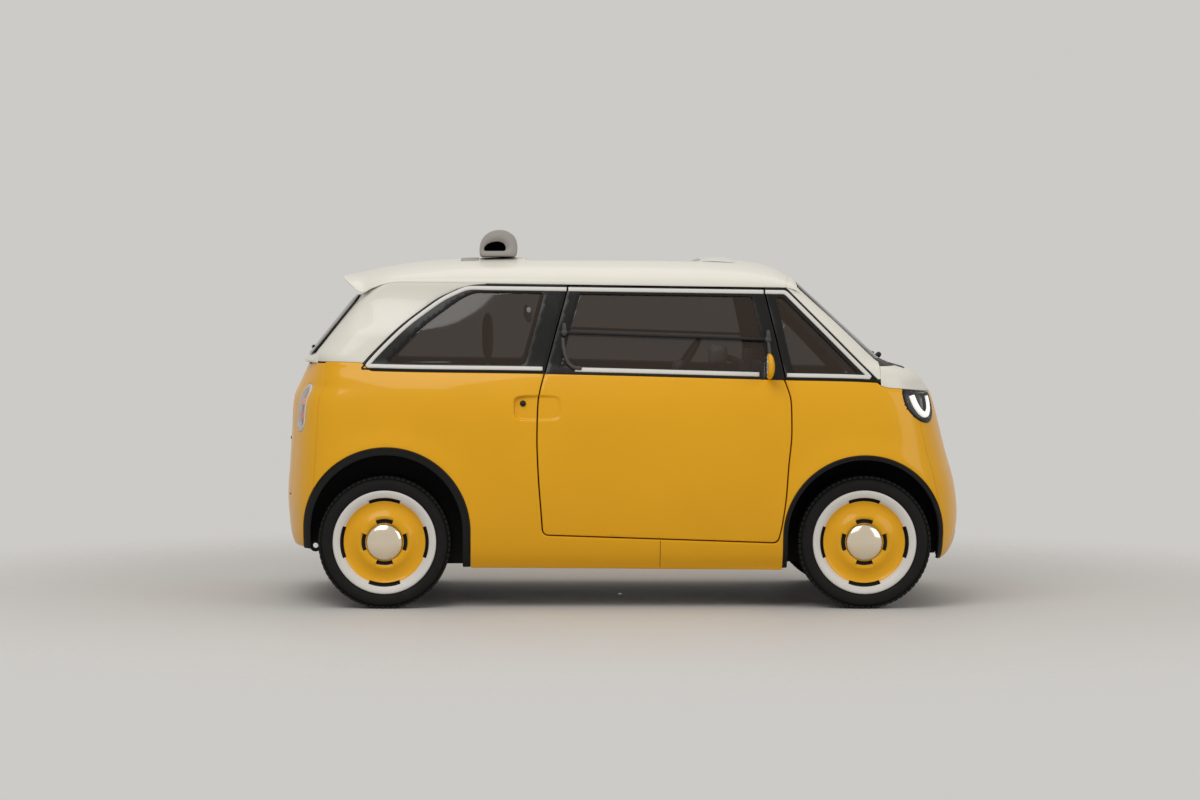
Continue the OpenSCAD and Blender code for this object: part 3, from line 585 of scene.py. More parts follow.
    def arch_x(self, z: Array, arch: tuple[float, float, float], end: int) -> Array:
        """Fore or aft edge of a wheel arch at a height."""
        cx, cz, radius = arch
        rise = np.clip(np.asarray(z, float) - cz, 0, radius)
        return cx + end * np.sqrt(radius**2 - rise**2)


FORM = BodyForm()


# Meshes


@dataclass
class Shape:
    """Points in millimetres and faces of a mesh in the making."""

    points: Array
    faces: list[tuple[int, ...]]
    marks: list[int] = field(default_factory=list)

    def mirrored(self) -> "Shape":
        """Returns the copy on the other side of the car."""
        return Shape(self.points * (1, -1, 1), [tuple(reversed(f)) for f in self.faces], list(self.marks))

    def joined(self, *others: "Shape") -> "Shape":
        """Returns this shape and others as one."""
        points, faces, marks = [self.points], list(self.faces), list(self.marks)
        count = len(self.points)
        for other in others:
            points.append(other.points)
            faces += [tuple(count + i for i in f) for f in other.faces]
            marks += other.marks
            count += len(other.points)
        return Shape(np.concatenate(points), faces, marks)

    def moved(self, by: Sequence[float]) -> "Shape":
        """Returns the shape moved."""
        return Shape(self.points + np.asarray(by, float), list(self.faces), list(self.marks))


def resample(points: Array, step: float, closed: bool = True) -> Array:
    """Spaces the points of a line evenly.

    Args:
        points: The line's points.
        step: The distance between points.
        closed: Whether the line returns to its start.

    Returns:
        The new points.
    """
    line = np.vstack([points, points[:1]]) if closed else np.asarray(points, float)
    far = np.concatenate([[0], np.cumsum(np.linalg.norm(np.diff(line, axis=0), axis=1))])
    keep = np.concatenate([[True], np.diff(far) > 1e-6])
    count = max(int(round(far[-1] / step)), 3)
    at = np.linspace(0, far[-1], count + 1)
    made = np.stack([np.interp(at, far[keep], line[keep][:, k]) for k in range(line.shape[1])], -1)
    return made[:-1] if closed else made


def soften(points: Array, window: float, step: float) -> Array:
    """Rounds the corners of an evenly spaced closed line by averaging along it."""
    reach = max(int(window / step / 2), 0)
    total = sum(np.roll(points, k, axis=0) for k in range(-reach, reach + 1))
    return total / (2 * reach + 1)


def bend_corner(points: Array, corner: Sequence[float], radius: float) -> Array:
    """Replaces a corner of a closed line with a smooth bend.

    Args:
        points: The closed line, evenly spaced.
        corner: The corner's place.
        radius: How far from the corner the bend starts.

    Returns:
        The line with the bend.
    """
    far = np.linalg.norm(points - np.asarray(corner, float), axis=1)
    middle = len(points) // 2
    shift = middle - int(np.argmin(far))
    line, far = np.roll(points, shift, axis=0), np.roll(far, shift)
    if far[middle] > radius:
        return points
    first = last = middle
    while far[first - 1] < radius:
        first -= 1
    while far[last + 1] < radius:
        last += 1
    t = np.linspace(0, 1, 14)[:, None]
    ends = (1 - t) ** 2 * line[first - 1] + t**2 * line[last + 1]
    arc = ends + 2 * t * (1 - t) * np.asarray(corner, float)
    return np.vstack([line[: first - 1], arc, line[last + 2 :]])


def inside(points: Array, loop: Array) -> Array:
    """Tells which points lie inside a closed line."""
    x, z = points[:, 0], points[:, 1]
    found = np.zeros(len(points), bool)
    for (ax, az), (bx, bz) in zip(loop, np.roll(loop, -1, axis=0)):
        if az != bz:
            cross = (az > z) != (bz > z)
            found ^= cross & (x < (bx - ax) * (z - az) / (bz - az) + ax)
    return found


def normals_of(surface: Surface, flat: Array) -> Array:
    """Outward normals of a surface at points of its chart."""
    e = 0.5
    u, v = flat[:, 0], flat[:, 1]
    a = surface(u + e, v) - surface(u - e, v)
    b = surface(u, v + e) - surface(u, v - e)
    n = np.cross(a, b)
    return n / np.maximum(np.linalg.norm(n, axis=1), 1e-9)[:, None]


def signed_area(loop: Array) -> float:
    """Area of a closed line, positive if it runs anticlockwise."""
    x, z = loop[:, 0], loop[:, 1]
    return 0.5 * float(np.sum(x * np.roll(z, -1) - np.roll(x, -1) * z))


def outward(loop: Array) -> Array:
    """Directions at a closed line's points that point to its right."""
    along = np.roll(loop, -1, axis=0) - np.roll(loop, 1, axis=0)
    along /= np.maximum(np.linalg.norm(along, axis=1), 1e-9)[:, None]
    return np.stack([along[:, 1], -along[:, 0]], -1)


def staggered(low: Array, high: Array, step: float) -> Array:
    """Points of a triangular grid between two corners."""
    spans = [np.arange(low[k], high[k], step) for k in (0, 1)]
    grid = np.stack(np.meshgrid(*spans), -1).reshape(-1, 2)
    odd = np.round((grid[:, 1] - low[1]) / step) % 2 == 1
    grid[:, 0] += np.where(odd, step / 2, 0)
    return grid


def level_in(points: Array, normals: Array) -> Array:
    """Directions straight across the car, towards its middle."""
    return np.stack([0 * points[:, 1], -np.sign(points[:, 1]), 0 * points[:, 1]], -1)


def round_corner(points: Array, normals: Array) -> Array:
    """Directions against the normal that turn across the car towards its sides."""
    share = np.clip((np.abs(points[:, 1]) - 420) / 120, 0, 1)[:, None]
    way = share * level_in(points, normals) - (1 - share) * normals
    return way / np.linalg.norm(way, axis=1)[:, None]


def panel(
    surface: Surface,
    outline: Array,
    holes: Sequence[Array] = (),
    step: float = 22.0,
    edge: float = 6.0,
    radius: float = 3.0,
    hem: float | tuple[float, ...] = 20.0,
    drop: float = 0.0,
    inward: Callable[[Array, Array], Array] | None = None,
    fine: tuple[float, float, float, float, float] | None = None,
) -> Shape:
    """Makes a sheet panel with rounded edges that turn inwards.

    Args:
        surface: Maps chart coordinates to points.
        outline: The closed outline in the chart.
        holes: Closed outlines of holes.
        step: Spacing of the inner points.
        edge: Spacing of the points along the edges.
        radius: Radius of the edge.
        hem: Depth of the wall behind the edge, or one for the outline and each hole.
        drop: How far the whole sheet lies below the surface.
        inward: Turns points and their normals into the directions of the wall behind the edge.
        fine: A patch of the chart, as two low and two high ends and the spacing in it.

    Returns:
        The panel's shape.
    """
    loops = []
    for k, loop in enumerate([outline, *holes]):
        line = resample(loop, edge)
        if (signed_area(line) > 0) != (k == 0):
            line = line[::-1]
        loops.append(line)
    rims = [line - radius * outward(line) for line in loops]
    grid = staggered(rims[0].min(0), rims[0].max(0), step)
    if fine is not None:
        low, high = np.array(fine[:2]), np.array(fine[2:4])
        patch = np.all((grid > low) & (grid < high), axis=1)
        grid = np.vstack([grid[~patch], staggered(low, high, fine[4])])
    keep = inside(grid, rims[0])
    for rim in rims[1:]:
        keep &= ~inside(grid, rim)
    border = np.vstack(rims)
    grid = grid[keep]
    near = np.array([np.min(np.sum((border - p) ** 2, axis=1)) for p in grid]) if len(grid) else np.zeros(0)
    grid = grid[near > (0.55 * min(step, fine[4] if fine else step)) ** 2]
    flat = np.vstack([border, grid])
    edges, count = [], 0
    for rim in rims:
        edges += [(count + i, count + (i + 1) % len(rim)) for i in range(len(rim))]
        count += len(rim)
    made = delaunay_2d_cdt([Vector(p) for p in flat.tolist()], edges, [], 0, 1e-4)
    flat = np.array([tuple(p) for p in made[0]], float)
    index = {old: new for new, olds in enumerate(made[3]) for old in olds}
    tris = np.array([tuple(t) for t in made[2]], int)
    middle = flat[tris].mean(1)
    keep = inside(middle, rims[0])
    for rim in rims[1:]:
        keep &= ~inside(middle, rim)
    tris = tris[keep]
    area = np.cross(flat[tris[:, 1]] - flat[tris[:, 0]], flat[tris[:, 2]] - flat[tris[:, 0]])
    tris = np.where((area < 0)[:, None], tris[:, ::-1], tris)
    points = [surface(flat[:, 0], flat[:, 1]) - drop * normals_of(surface, flat)]
    faces = [tuple(t) for t in tris.tolist()]
    count, start = len(flat), 0
    hems = hem if isinstance(hem, tuple) else (hem,) * len(loops)
    for line, rim, wall in zip(loops, rims, hems):
        size = len(rim)
        ring = [index[start + i] for i in range(size)]
        start += size
        way = outward(line)
        for angle, deep in [(a, 0.0) for a in (30, 60, 90)] + [(90, wall)]:
            at = rim + radius * math.sin(math.radians(angle)) * way
            down = drop + radius * (1 - math.cos(math.radians(angle)))
            normals = normals_of(surface, at)
            place = surface(at[:, 0], at[:, 1]) - down * normals
            points.append(place + deep * (-normals if inward is None else inward(place, normals)))
            fresh = list(range(count, count + size))
            for i in range(size):
                j = (i + 1) % size
                faces.append((ring[i], fresh[i], fresh[j], ring[j]))
            ring = fresh
            count += size
    return Shape(np.vstack(points), faces)


def strip(
    surface: Surface, line: Array, width: float, height: float, step: float = 10.0, drop: float = 0.0
) -> Shape:
    """Makes a half-round bead along a line on a surface.

    Args:
        surface: Maps chart coordinates to points.
        line: The bead's middle line in the chart.
        width: The bead's width.
        height: How far the bead stands proud.
        step: Spacing along the line.
        drop: How far the bead's foot lies below the surface.

    Returns:
        The bead's shape.
    """
    line = resample(line, step, closed=False)
    along = np.gradient(line, axis=0)
    along /= np.linalg.norm(along, axis=1)[:, None]
    way = np.stack([along[:, 1], -along[:, 0]], -1)
    half = [(-0.5, -0.6), (-0.5, 0.2), (-0.42, 0.7), (-0.22, 0.95)]
    section = half + [(0.0, 1.0)] + [(-a, b) for a, b in reversed(half)]
    rows = []
    for across, up in section:
        at = line + way * across * width
        rows.append(surface(at[:, 0], at[:, 1]) + normals_of(surface, at) * (up * height - drop))
    return loft(np.stack(rows, 1), wrap=False, caps=True)


def loft(rows: Array, wrap: bool, caps: bool) -> Shape:
    """Joins rows of points with faces.

    Args:
        rows: Points as rows, columns and coordinates.
        wrap: Whether the columns close on themselves.
        caps: Whether the first and last rows are closed.

    Returns:
        The shape.
    """
    n, m = rows.shape[:2]
    faces = []
    for i in range(n - 1):
        for j in range(m if wrap else m - 1):
            k = (j + 1) % m
            faces.append((i * m + j, i * m + k, (i + 1) * m + k, (i + 1) * m + j))
    if caps:
        faces.append(tuple(range(m - 1, -1, -1)))
        faces.append(tuple((n - 1) * m + j for j in range(m)))
    return Shape(rows.reshape(-1, 3), faces)


def lathe(profile: Array, count: int, relief: Callable[[Array, Array], Array] | None = None) -> Shape:
    """Turns a profile of (radius, outward place) round the right-hand wheels' axis.

    Args:
        profile: The profile, from the inner end to the outer one.
        count: Number of steps round the axis.
        relief: Adds to the outward place at (radius, angle).

    Returns:
        The shape, with its axis along Y and its outer face to -Y.
    """
    angle = np.arange(count) * 2 * math.pi / count
    radius, out = profile[:, 0][:, None], profile[:, 1][:, None]
    out = np.repeat(out, count, 1)
    if relief is not None:
        out = out + relief(np.repeat(radius, count, 1), np.repeat(angle[None], len(profile), 0))
    rows = np.stack([radius * np.sin(angle), -out, radius * np.cos(angle)], -1)
    return loft(rows, wrap=True, caps=False)


def tube(path: Array, radius: float | Array, sides: int = 12) -> Shape:
    """Makes a round bar along a path, with domed ends.

    Args:
        path: The bar's middle line.
        radius: Its radius, or one for each point.
        sides: Number of sides.

    Returns:
        The bar's shape.
    """
    path = np.asarray(path, float)
    size = np.broadcast_to(np.asarray(radius, float), (len(path),)).copy()
    along = np.gradient(path, axis=0)
    along /= np.linalg.norm(along, axis=1)[:, None]
    side = np.cross(along, (0.0, 0.0, 1.0))
    flat = np.linalg.norm(side, axis=1) < 1e-3
    side[flat] = np.cross(along[flat], (1.0, 0.0, 0.0))
    side /= np.linalg.norm(side, axis=1)[:, None]
    up = np.cross(side, along)
    rows = []
    for k, share, back in [(0, 0.45, 0.8), (0, 0.85, 0.4)]:
        rows.append((path[k] - along[k] * size[k] * back, share * size[k], k))
    rows += [(path[k], size[k], k) for k in range(len(path))]
    for k, share, ahead in [(-1, 0.85, 0.4), (-1, 0.45, 0.8)]:
        rows.append((path[k] + along[k] * size[k] * ahead, share * size[k], k))
    angle = np.arange(sides) * 2 * math.pi / sides
    made = [c + r * (np.cos(angle)[:, None] * side[k] + np.sin(angle)[:, None] * up[k]) for c, r, k in rows]
    return loft(np.stack(made), wrap=True, caps=True)


def pillow(
    centre: Sequence[float], size: Sequence[float], power: float = 3.5, rows: int = 24, sides: int = 40
) -> Shape:
    """Makes a closed cushion: a rounded box with crowned faces.

    Args:
        centre: The middle.
        size: Full length along X, Y and Z.
        power: 2 is an ellipsoid, more is boxier.
        rows: Steps from pole to pole.
        sides: Steps round.

    Returns:
        The cushion's shape.
    """
    lat = np.linspace(-math.pi / 2, math.pi / 2, rows + 1)[1:-1]
    lon = np.arange(sides) * 2 * math.pi / sides
    wide = np.cos(lat)[:, None]
    ray = np.stack(
        [wide * np.cos(lon), wide * np.sin(lon), np.repeat(np.sin(lat)[:, None], sides, 1)], -1
    )
    ray /= np.sum(np.abs(ray) ** power, -1, keepdims=True) ** (1 / power)
    body = loft(ray, wrap=True, caps=True)
    return Shape(body.points * np.asarray(size) / 2 + np.asarray(centre), body.faces)


class Shop:
    """Turns shapes into dressed Blender objects on the car's bodies."""

    def __init__(self, frame: dict, palette: Palette) -> None:
        """Keeps the loaded frame and the finishes."""
        self.frame = frame
        self.palette = palette

    def add(
        self,
        name: str,
        shape: Shape,
        finish: str | Sequence[str],
        body: str,
        slot: Slot,
        replaces: Sequence[str] = (),
        both: bool = False,
    ) -> bpy.types.Object:
        """Makes one piece.

        Args:
            name: The piece's name.
            shape: Its shape in millimetres.
            finish: Its finish, or several that the shape's marks choose from.
            body: The body that it rides on.
            slot: A material slot of the record; not used.
            replaces: CAD nodes that it stands for.
            both: Whether its mirror image is part of it.

        Returns:
            The object.
        """
        if both:
            shape = shape.joined(shape.mirrored())
        mesh = bpy.data.meshes.new(name)
        mesh.from_pydata((shape.points * MM).tolist(), [], shape.faces)
        mesh.polygons.foreach_set("use_smooth", [True] * len(mesh.polygons))
        for each in [finish] if isinstance(finish, str) else finish:
            mesh.materials.append(self.palette[each])
        if len(shape.marks) == len(mesh.polygons):
            mesh.polygons.foreach_set("material_index", shape.marks)
        mesh.update()
        piece = bpy.data.objects.new(name, mesh)
        bpy.context.scene.collection.objects.link(piece)
        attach(piece, body)
        if replaces:
            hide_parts(*replaces)
        LOG.info("%s on %s: %d faces", name, body, len(mesh.polygons))
        return piece

    def dress(self, node: str, finish: str) -> None:
        """Gives a CAD node a finish."""
        mesh = self.frame["nodes"][node].data
        mesh.materials.clear()
        mesh.materials.append(self.palette[finish])


def line_xz(*parts: Array) -> Array:
    """Joins parts of an outline, each an array of chart points."""
    return np.vstack(parts)


def along_z(edge: Callable[[Array], Array], start: float, end: float, count: int = 60) -> Array:
    """Points of an edge given as x at a height."""
    z = np.linspace(start, end, count)
    return np.stack([edge(z), z], -1)


def along_x(edge: Callable[[Array], Array], start: float, end: float, count: int = 80) -> Array:
    """Points of an edge given as height at x."""
    x = np.linspace(start, end, count)
    return np.stack([x, edge(x) + 0 * x], -1)


@dataclass
class Lamp:
    """The round headlamp at each front corner, half covered by the bonnet's edge."""

    centre: tuple[float, float, float] = (FRONT_AXLE + 264, -664.0, 950.0)
    radius: float = 117.0
    axis: tuple[float, float, float] = (0.7032, -0.7032, 0.1045)

    def frame(self) -> tuple[Array, Array, Array]:
        """Returns the lamp's axis, its level direction and its upward direction."""
        axis = np.array(self.axis)
        axis /= np.linalg.norm(axis)
        level = np.cross((0, 0, 1.0), axis)
        level /= np.linalg.norm(level)
        return axis, level, np.cross(axis, level)

    def off(self, points: Array) -> tuple[Array, Array]:
        """Places of points across the lamp's axis, level and upward."""
        _, level, up = self.frame()
        away = points - np.array(self.centre)
        return away @ level, away @ up

    def covers(self, points: Array, margin: float = 0.0) -> Array:
        """Tells which points lie inside the lamp's bore."""
        a, b = self.off(points)
        return (np.hypot(a, b) < self.radius + margin) & (points[:, 0] > 1100)


LAMP = Lamp()


def without(shape: Shape, covers: Callable[[Array], Array]) -> Shape:
    """Drops the faces whose middle is covered."""
    middle = np.array([shape.points[list(f)].mean(0) for f in shape.faces])
    gone = covers(middle)
    return Shape(shape.points, [f for f, g in zip(shape.faces, gone) if not g])


@dataclass
class BodySides:
    """Sills, fenders and quarter panels: one pressing on each side, with its door opening."""

    foot_bend: float = 30.0

    def junction(self, arch: tuple[float, float, float], end: int) -> float:
        """Height at which an arch's edge meets the corner of the body."""
        z = np.linspace(arch[1], arch[1] + arch[2], 4000)
        corner = FORM.plan_x(FORM.corner_y(z), z, end)
        gap = end * (FORM.arch_x(z, arch, end) - corner)
        return float(z[np.argmax(gap < 0)])

    def arch(self, arch: tuple[float, float, float], start: float, end: float) -> Array:
        """Points over an arch from one angle to another, in degrees from the front."""
        angle = np.radians(np.linspace(start, end, 70))
        return np.stack([arch[0] + arch[2] * np.cos(angle), arch[1] + arch[2] * np.sin(angle)], -1)

    def outline(self) -> Array:
        """The closed outline of the right-hand pressing."""
        rear, front = FORM.rear_arch, FORM.front_arch
        zr, zf = self.junction(rear, -1), self.junction(front, 1)
        rear_angle = 180 - math.degrees(math.asin((zr - rear[1]) / rear[2]))
        front_angle = math.degrees(math.asin((zf - front[1]) / front[2]))
        corner = lambda end: lambda z: FORM.plan_x(FORM.corner_y(z), z, end)
        gap = SHUT_GAP
        foot = lambda x: FORM.door_foot(x) - gap
        front_top, rear_top = 972.0, 1109.0
        rear_x, front_x = rear[0] + rear[2], front[0] - front[2]
        return line_xz(
            self.arch(rear, rear_angle, 0),
            np.array([[rear_x, FORM.sill_h + 4], [front_x, FORM.sill_h - 4]]),
            self.arch(front, 180, front_angle),
            along_z(corner(1), zf + 2, front_top),
            along_x(FORM.top_z, float(corner(1)(front_top)) - 4, float(FORM.door_front(1030.0)) + gap, 120),
            along_z(lambda z: FORM.door_front(z) + gap, 1028, float(foot(700)) + 2),
            along_x(foot, float(FORM.door_front(300.0)) + gap - 2, float(FORM.door_rear(330.0)) - gap),
            along_z(lambda z: FORM.door_rear(z) - gap, float(foot(-370)) + 2, 1056),
            along_x(FORM.top_z, float(FORM.door_rear(1058.0)) - gap, float(corner(-1)(rear_top)) + 3, 120),
            along_z(corner(-1), rear_top - 1, zr + 2),
        )

    def build(self, shop: Shop) -> None:
        """Makes the pressings and the handle recess on the quarters."""
        line = resample(self.outline(), 4.0)
        foot = lambda x: float(FORM.door_foot(x)) - SHUT_GAP
        xf, xr = float(FORM.door_front(305.0)) + SHUT_GAP, float(FORM.door_rear(335.0)) - SHUT_GAP
        line = bend_corner(line, (xf, foot(xf)), self.foot_bend)
        line = bend_corner(line, (xr, foot(xr)), self.foot_bend)
        patch = HANDLE.patch()
        shape = panel(HANDLE.dished, line, step=18, edge=6, radius=3.5, hem=58, inward=level_in, fine=patch)
        shape = without(shape, lambda p: LAMP.covers(p, -4.0))
        nodes = ("sills", "front_fenders", "rear_quarters")
        shop.add("body_sides", shape, "yellow_paint", "body", Slot.BODY, nodes, True)


@dataclass
class Handle:
    """The door handle: a rounded recess across the door's rear edge, with a round button."""

    centre: tuple[float, float] = (-398.0, 905.0)
    size: tuple[float, float] = (218.0, 112.0)
    depth: float = 17.0
    button: tuple[float, float] = (-462.0, 925.0)

    def mask(self, x: Array, z: Array) -> Array:
        """Share of the recess's depth at each place."""
        a = np.abs(x - self.centre[0]) / (self.size[0] / 2)
        b = np.abs(z - self.centre[1]) / (self.size[1] / 2)
        far = (a**5 + b**5) ** 0.2
        t = np.clip((1.0 - far) / 0.11, 0, 1)
        return t * t * (3 - 2 * t)

    def patch(self) -> tuple[float, float, float, float, float]:
        """The part of the chart that needs fine points, with their spacing."""
        (x, z), (w, h) = self.centre, self.size
        return x - 0.6 * w, z - 0.65 * h, x + 0.6 * w, z + 0.65 * h, 4.5

    def dished(self, x: Array, z: Array) -> Array:
        """The lower body's surface with the recess pressed in."""
        points = FORM.side(x, z)
        slope = np.clip((x - self.centre[0]) / 110.0, -1, 1)
        points[..., 1] += self.depth * self.mask(x, z) * (0.75 - 0.5 * slope)
        return points


HANDLE = Handle()


@dataclass
class Doors:
    """Both doors: outer skin, inner trim, window frame, glass, guard rail and mirror."""

    foot_bend: float = 24.0
    trim_depth: float = 58.0

    def outline(self) -> Array:
        """The closed outline of the right-hand door below its window."""
        top = lambda x: FORM.top_z(x)
        return line_xz(
            along_x(FORM.door_foot, float(FORM.door_rear(337.0)), float(FORM.door_front(300.0)) - 1),
            along_z(FORM.door_front, float(FORM.door_foot(700.0)) + 2, 1029),
            along_x(top, float(FORM.door_front(1030.0)) - 1, float(FORM.door_rear(1057.0)) + 1),
            along_z(FORM.door_rear, 1056, float(FORM.door_foot(-370.0)) + 2),
        )

    def skin(self) -> Shape:
        """The right-hand outer skin."""
        line = resample(self.outline(), 4.0)
        xf, xr = float(FORM.door_front(300.0)), float(FORM.door_rear(337.0))
        line = bend_corner(line, (xf, float(FORM.door_foot(xf))), self.foot_bend)
        line = bend_corner(line, (xr, float(FORM.door_foot(xr))), self.foot_bend)
        patch = HANDLE.patch()
        return panel(HANDLE.dished, line, step=18, edge=6, radius=3.5, hem=50, inward=level_in, fine=patch)

    def trim(self) -> Shape:
        """The right-hand inner trim, a plain panel with an armrest."""
        line = soften(resample(self.outline(), 4.0), 60, 4.0)
        middle = line.mean(0)
        line = middle + (line - middle) * 0.955

        def face(x: Array, z: Array) -> Array:
            """The trim's face, turned to the cabin."""
            made = FORM.side(-x, z)
            rest = 26 * np.exp(-(((z - 760) / 45) ** 4)) * np.exp(-(((-x - 230) / 330) ** 6))
            made[..., 1] += self.trim_depth + rest
            return made

        return panel(face, line * (-1, 1), step=24, edge=12, radius=4, hem=10)

    def build(self, shop: Shop) -> None:
        """Makes both doors."""
        frame = RingFrame.door()
        for hand, flip in (("right", False), ("left", True)):
            body = f"door_{hand}"
            put = lambda s: s.mirrored() if flip else s
            shop.add(f"{body}_skin", put(self.skin()), "yellow_paint", body, Slot.BODY, (body,))
            shop.add(f"{body}_trim", put(self.trim()), "black_plastic", body, Slot.TRIM)
            node = f"door_frame_{hand}"
            shop.add(f"{body}_frame", put(frame.ring()), "black_gloss", body, Slot.TRIM, (node,))
            node = f"door_glass_{hand}"
            shop.add(f"{body}_glass", put(frame.pane(6)), "side_glass", body, Slot.GLASS, (node,))
            shop.add(f"{body}_strips", put(self.belt_strip()), "white_trim", body, Slot.WHITE)
            rail, knobs, bracket = self.rail()
            shop.add(f"{body}_rail", put(rail), "black_plastic", body, Slot.TRIM)
            shop.add(f"{body}_rail_ends", put(knobs), "rail_grey", body, Slot.TRIM)
            shop.add(f"{body}_rail_bracket", put(bracket), "rail_grey", body, Slot.TRIM)
            paddle, stalk, glass = self.mirror()
            node = f"mirror_{hand}"
            shop.add(f"{node}_paddle", put(paddle), "yellow_paint", body, Slot.BODY, (node,))
            shop.add(f"{node}_stalk", put(stalk), "black_plastic", body, Slot.TRIM)
            shop.add(f"{node}_glass", put(glass), "mirror_silver", body, Slot.ALLOY)

    def belt_strip(self) -> Shape:
        """The white strips along the door's belt and over its window."""
        line = along_x(lambda x: FORM.top_z(x) + 22, -228, 600)
        over = strip(FORM.cabin, Cabin().rims(21, 22)[1], Cabin().strip_w, 4)
        return strip(FORM.cabin, line, 19, 4).joined(over)

    def rail(self) -> tuple[Shape, Shape, Shape]:
        """The guard rail across the window, its end knobs and the rear bracket.

        Returns:
            The rail, the knobs and the brackets.
        """
        ends = np.array([[-276.0, 1243.0], [642.0, 1211.0]])
        t = np.linspace(0, 1, 30)[:, None]
        flat = ends[0] + (ends[1] - ends[0]) * t
        path = FORM.cabin(flat[:, 0], flat[:, 1])
        path[:, 1] -= 12
        rail = tube(path, 7.0)
        knobs = []
        for x, z in ends:
            foot = FORM.cabin(np.array([x]), np.array([z]))[0]
            knobs.append(tube(np.array([foot + (0, 4, 0), foot + (0, -12, 0)]), 16.0, 20))
            post = np.array([foot + (0, -12, -10), foot + (0, -12, 14), foot + (0, -12, 36)])
            knobs.append(tube(post, np.array([9.0, 12.0, 9.0]), 14))
        bends = [(-282, 1214), (-280, 1180), (-272, 1140), (-258, 1106), (-236, 1086), (-205, 1082)]
        hook = np.array(bends, float)
        hook = resample(hook, 12, closed=False)
        path = FORM.cabin(hook[:, 0], hook[:, 1])
        path[:, 1] -= 6
        height = np.linspace(1206, 1132, 8)
        stay = FORM.cabin(np.linspace(642, 650, 8), height)
        stay[:, 1] -= 10
        return rail, knobs[0].joined(*knobs[1:]), tube(path, 9.0).joined(tube(stay, 8.0))

    def mirror(self) -> tuple[Shape, Shape, Shape]:
        """The door mirror: an oval paddle seen edge on, its stalk and its glass.

        Returns:
            The paddle, the stalk and the glass.
        """
        x, y, z = 646.0, -float(FORM.plan_y(600.0, 1100.0)) - 70, 1092.0
        shell = pillow((x, y, z), (38, 116, 116), 2.3)
        shell.points[:, 0] += 6 * np.cos((shell.points[:, 2] - z) / 58 * 1.4) - 6
        foot = np.array([[x + 4, y + 66, z + 34], [x + 4, y + 54, z + 20], [x + 2, y + 36, z + 8]])
        glass = pillow((x - 16, y, z), (8, 98, 98), 2.3)
        return shell, tube(resample(foot, 8, closed=False), 9.0), glass


@dataclass
class RingFrame:
    """A black window frame on the cabin's side, between an outer and an inner line."""

    behind: Callable[[Array], Array]
    ahead: Callable[[Array], Array]
    below: Callable[[Array], Array]
    above: Callable[[Array], Array]
    widths: tuple[float, float, float, float]
    bend: float = 30.0

    @classmethod
    def door(cls) -> "RingFrame":
        """The door's window frame."""
        low = lambda x: FORM.top_z(x) + 0.6
        high = lambda x: FORM.rail_z(x) - SHUT_GAP
        return cls(FORM.pillar_b, FORM.pillar_a, low, high, (60, 60, 36, 36))

    @classmethod
    def quarter(cls) -> "RingFrame":
        """The rear side window's frame."""
        ahead = lambda z: FORM.pillar_b(z) - SHUT_GAP
        low = lambda x: FORM.top_z(x) + 0.6
        high = lambda x: FORM.rail_z(x) - 0.6
        return cls(FORM.window_back, ahead, low, high, (104, 96, 36, 40), 46.0)

    @classmethod
    def vent(cls) -> "RingFrame":
        """The front side window's frame."""
        behind = lambda z: FORM.pillar_a(z) + SHUT_GAP
        low = lambda x: FORM.top_z(np.minimum(x, FRONT_AXLE + 44)) + 0.6
        high = lambda x: FORM.rail_z(x) - 0.6
        return cls(behind, FORM.window_front, low, high, (40, 62, 34, 44), 24.0)

    def meet(
        self, edge: Callable[[Array], Array], level: Callable[[Array], Array], z: float
    ) -> tuple[float, float]:
        """Where an upright edge crosses a level one."""
        x = float(edge(np.array(z)))
        for _ in range(6):
            z = float(level(np.array(x)))
            x = float(edge(np.array(z)))
        return x, z

    def loop(self, share: float) -> Array:
        """The closed outer (0) or inner (1) line."""
        back, front, low, high = (share * w for w in self.widths)
        behind = lambda z: self.behind(z) + back
        ahead = lambda z: self.ahead(z) - front
        below = lambda x: self.below(x) + low
        above = lambda x: self.above(x) - high
        a, b = self.meet(behind, below, 1080.0), self.meet(ahead, below, 1050.0)
        c, d = self.meet(ahead, above, 1420.0), self.meet(behind, above, 1420.0)
        made = line_xz(
            along_x(below, a[0], b[0]),
            along_z(ahead, b[1], c[1]),
            along_x(above, c[0], d[0]),
            along_z(behind, d[1], a[1]),
        )
        return resample(made, 4.0)

    def surface(self, deep: float) -> Surface:
        """The cabin's side, set in."""
        return lambda x, z: FORM.cabin(x, z) + np.array([0.0, deep, 0.0])

    def ring(self) -> Shape:
        """The frame."""
        inner = soften(self.loop(1), self.bend, 4.0)
        return panel(self.surface(2.0), self.loop(0), [inner], step=16, edge=9, radius=2.0, hem=24)

    def pane(self, deep: float) -> Shape:
        """The glass, a sheet behind the frame's inner edge."""
        loop = soften(self.loop(0.86), 0.8 * self.bend, 4.0)
        return panel(self.surface(deep + 3), loop, step=16, edge=8, radius=0.8, hem=4)


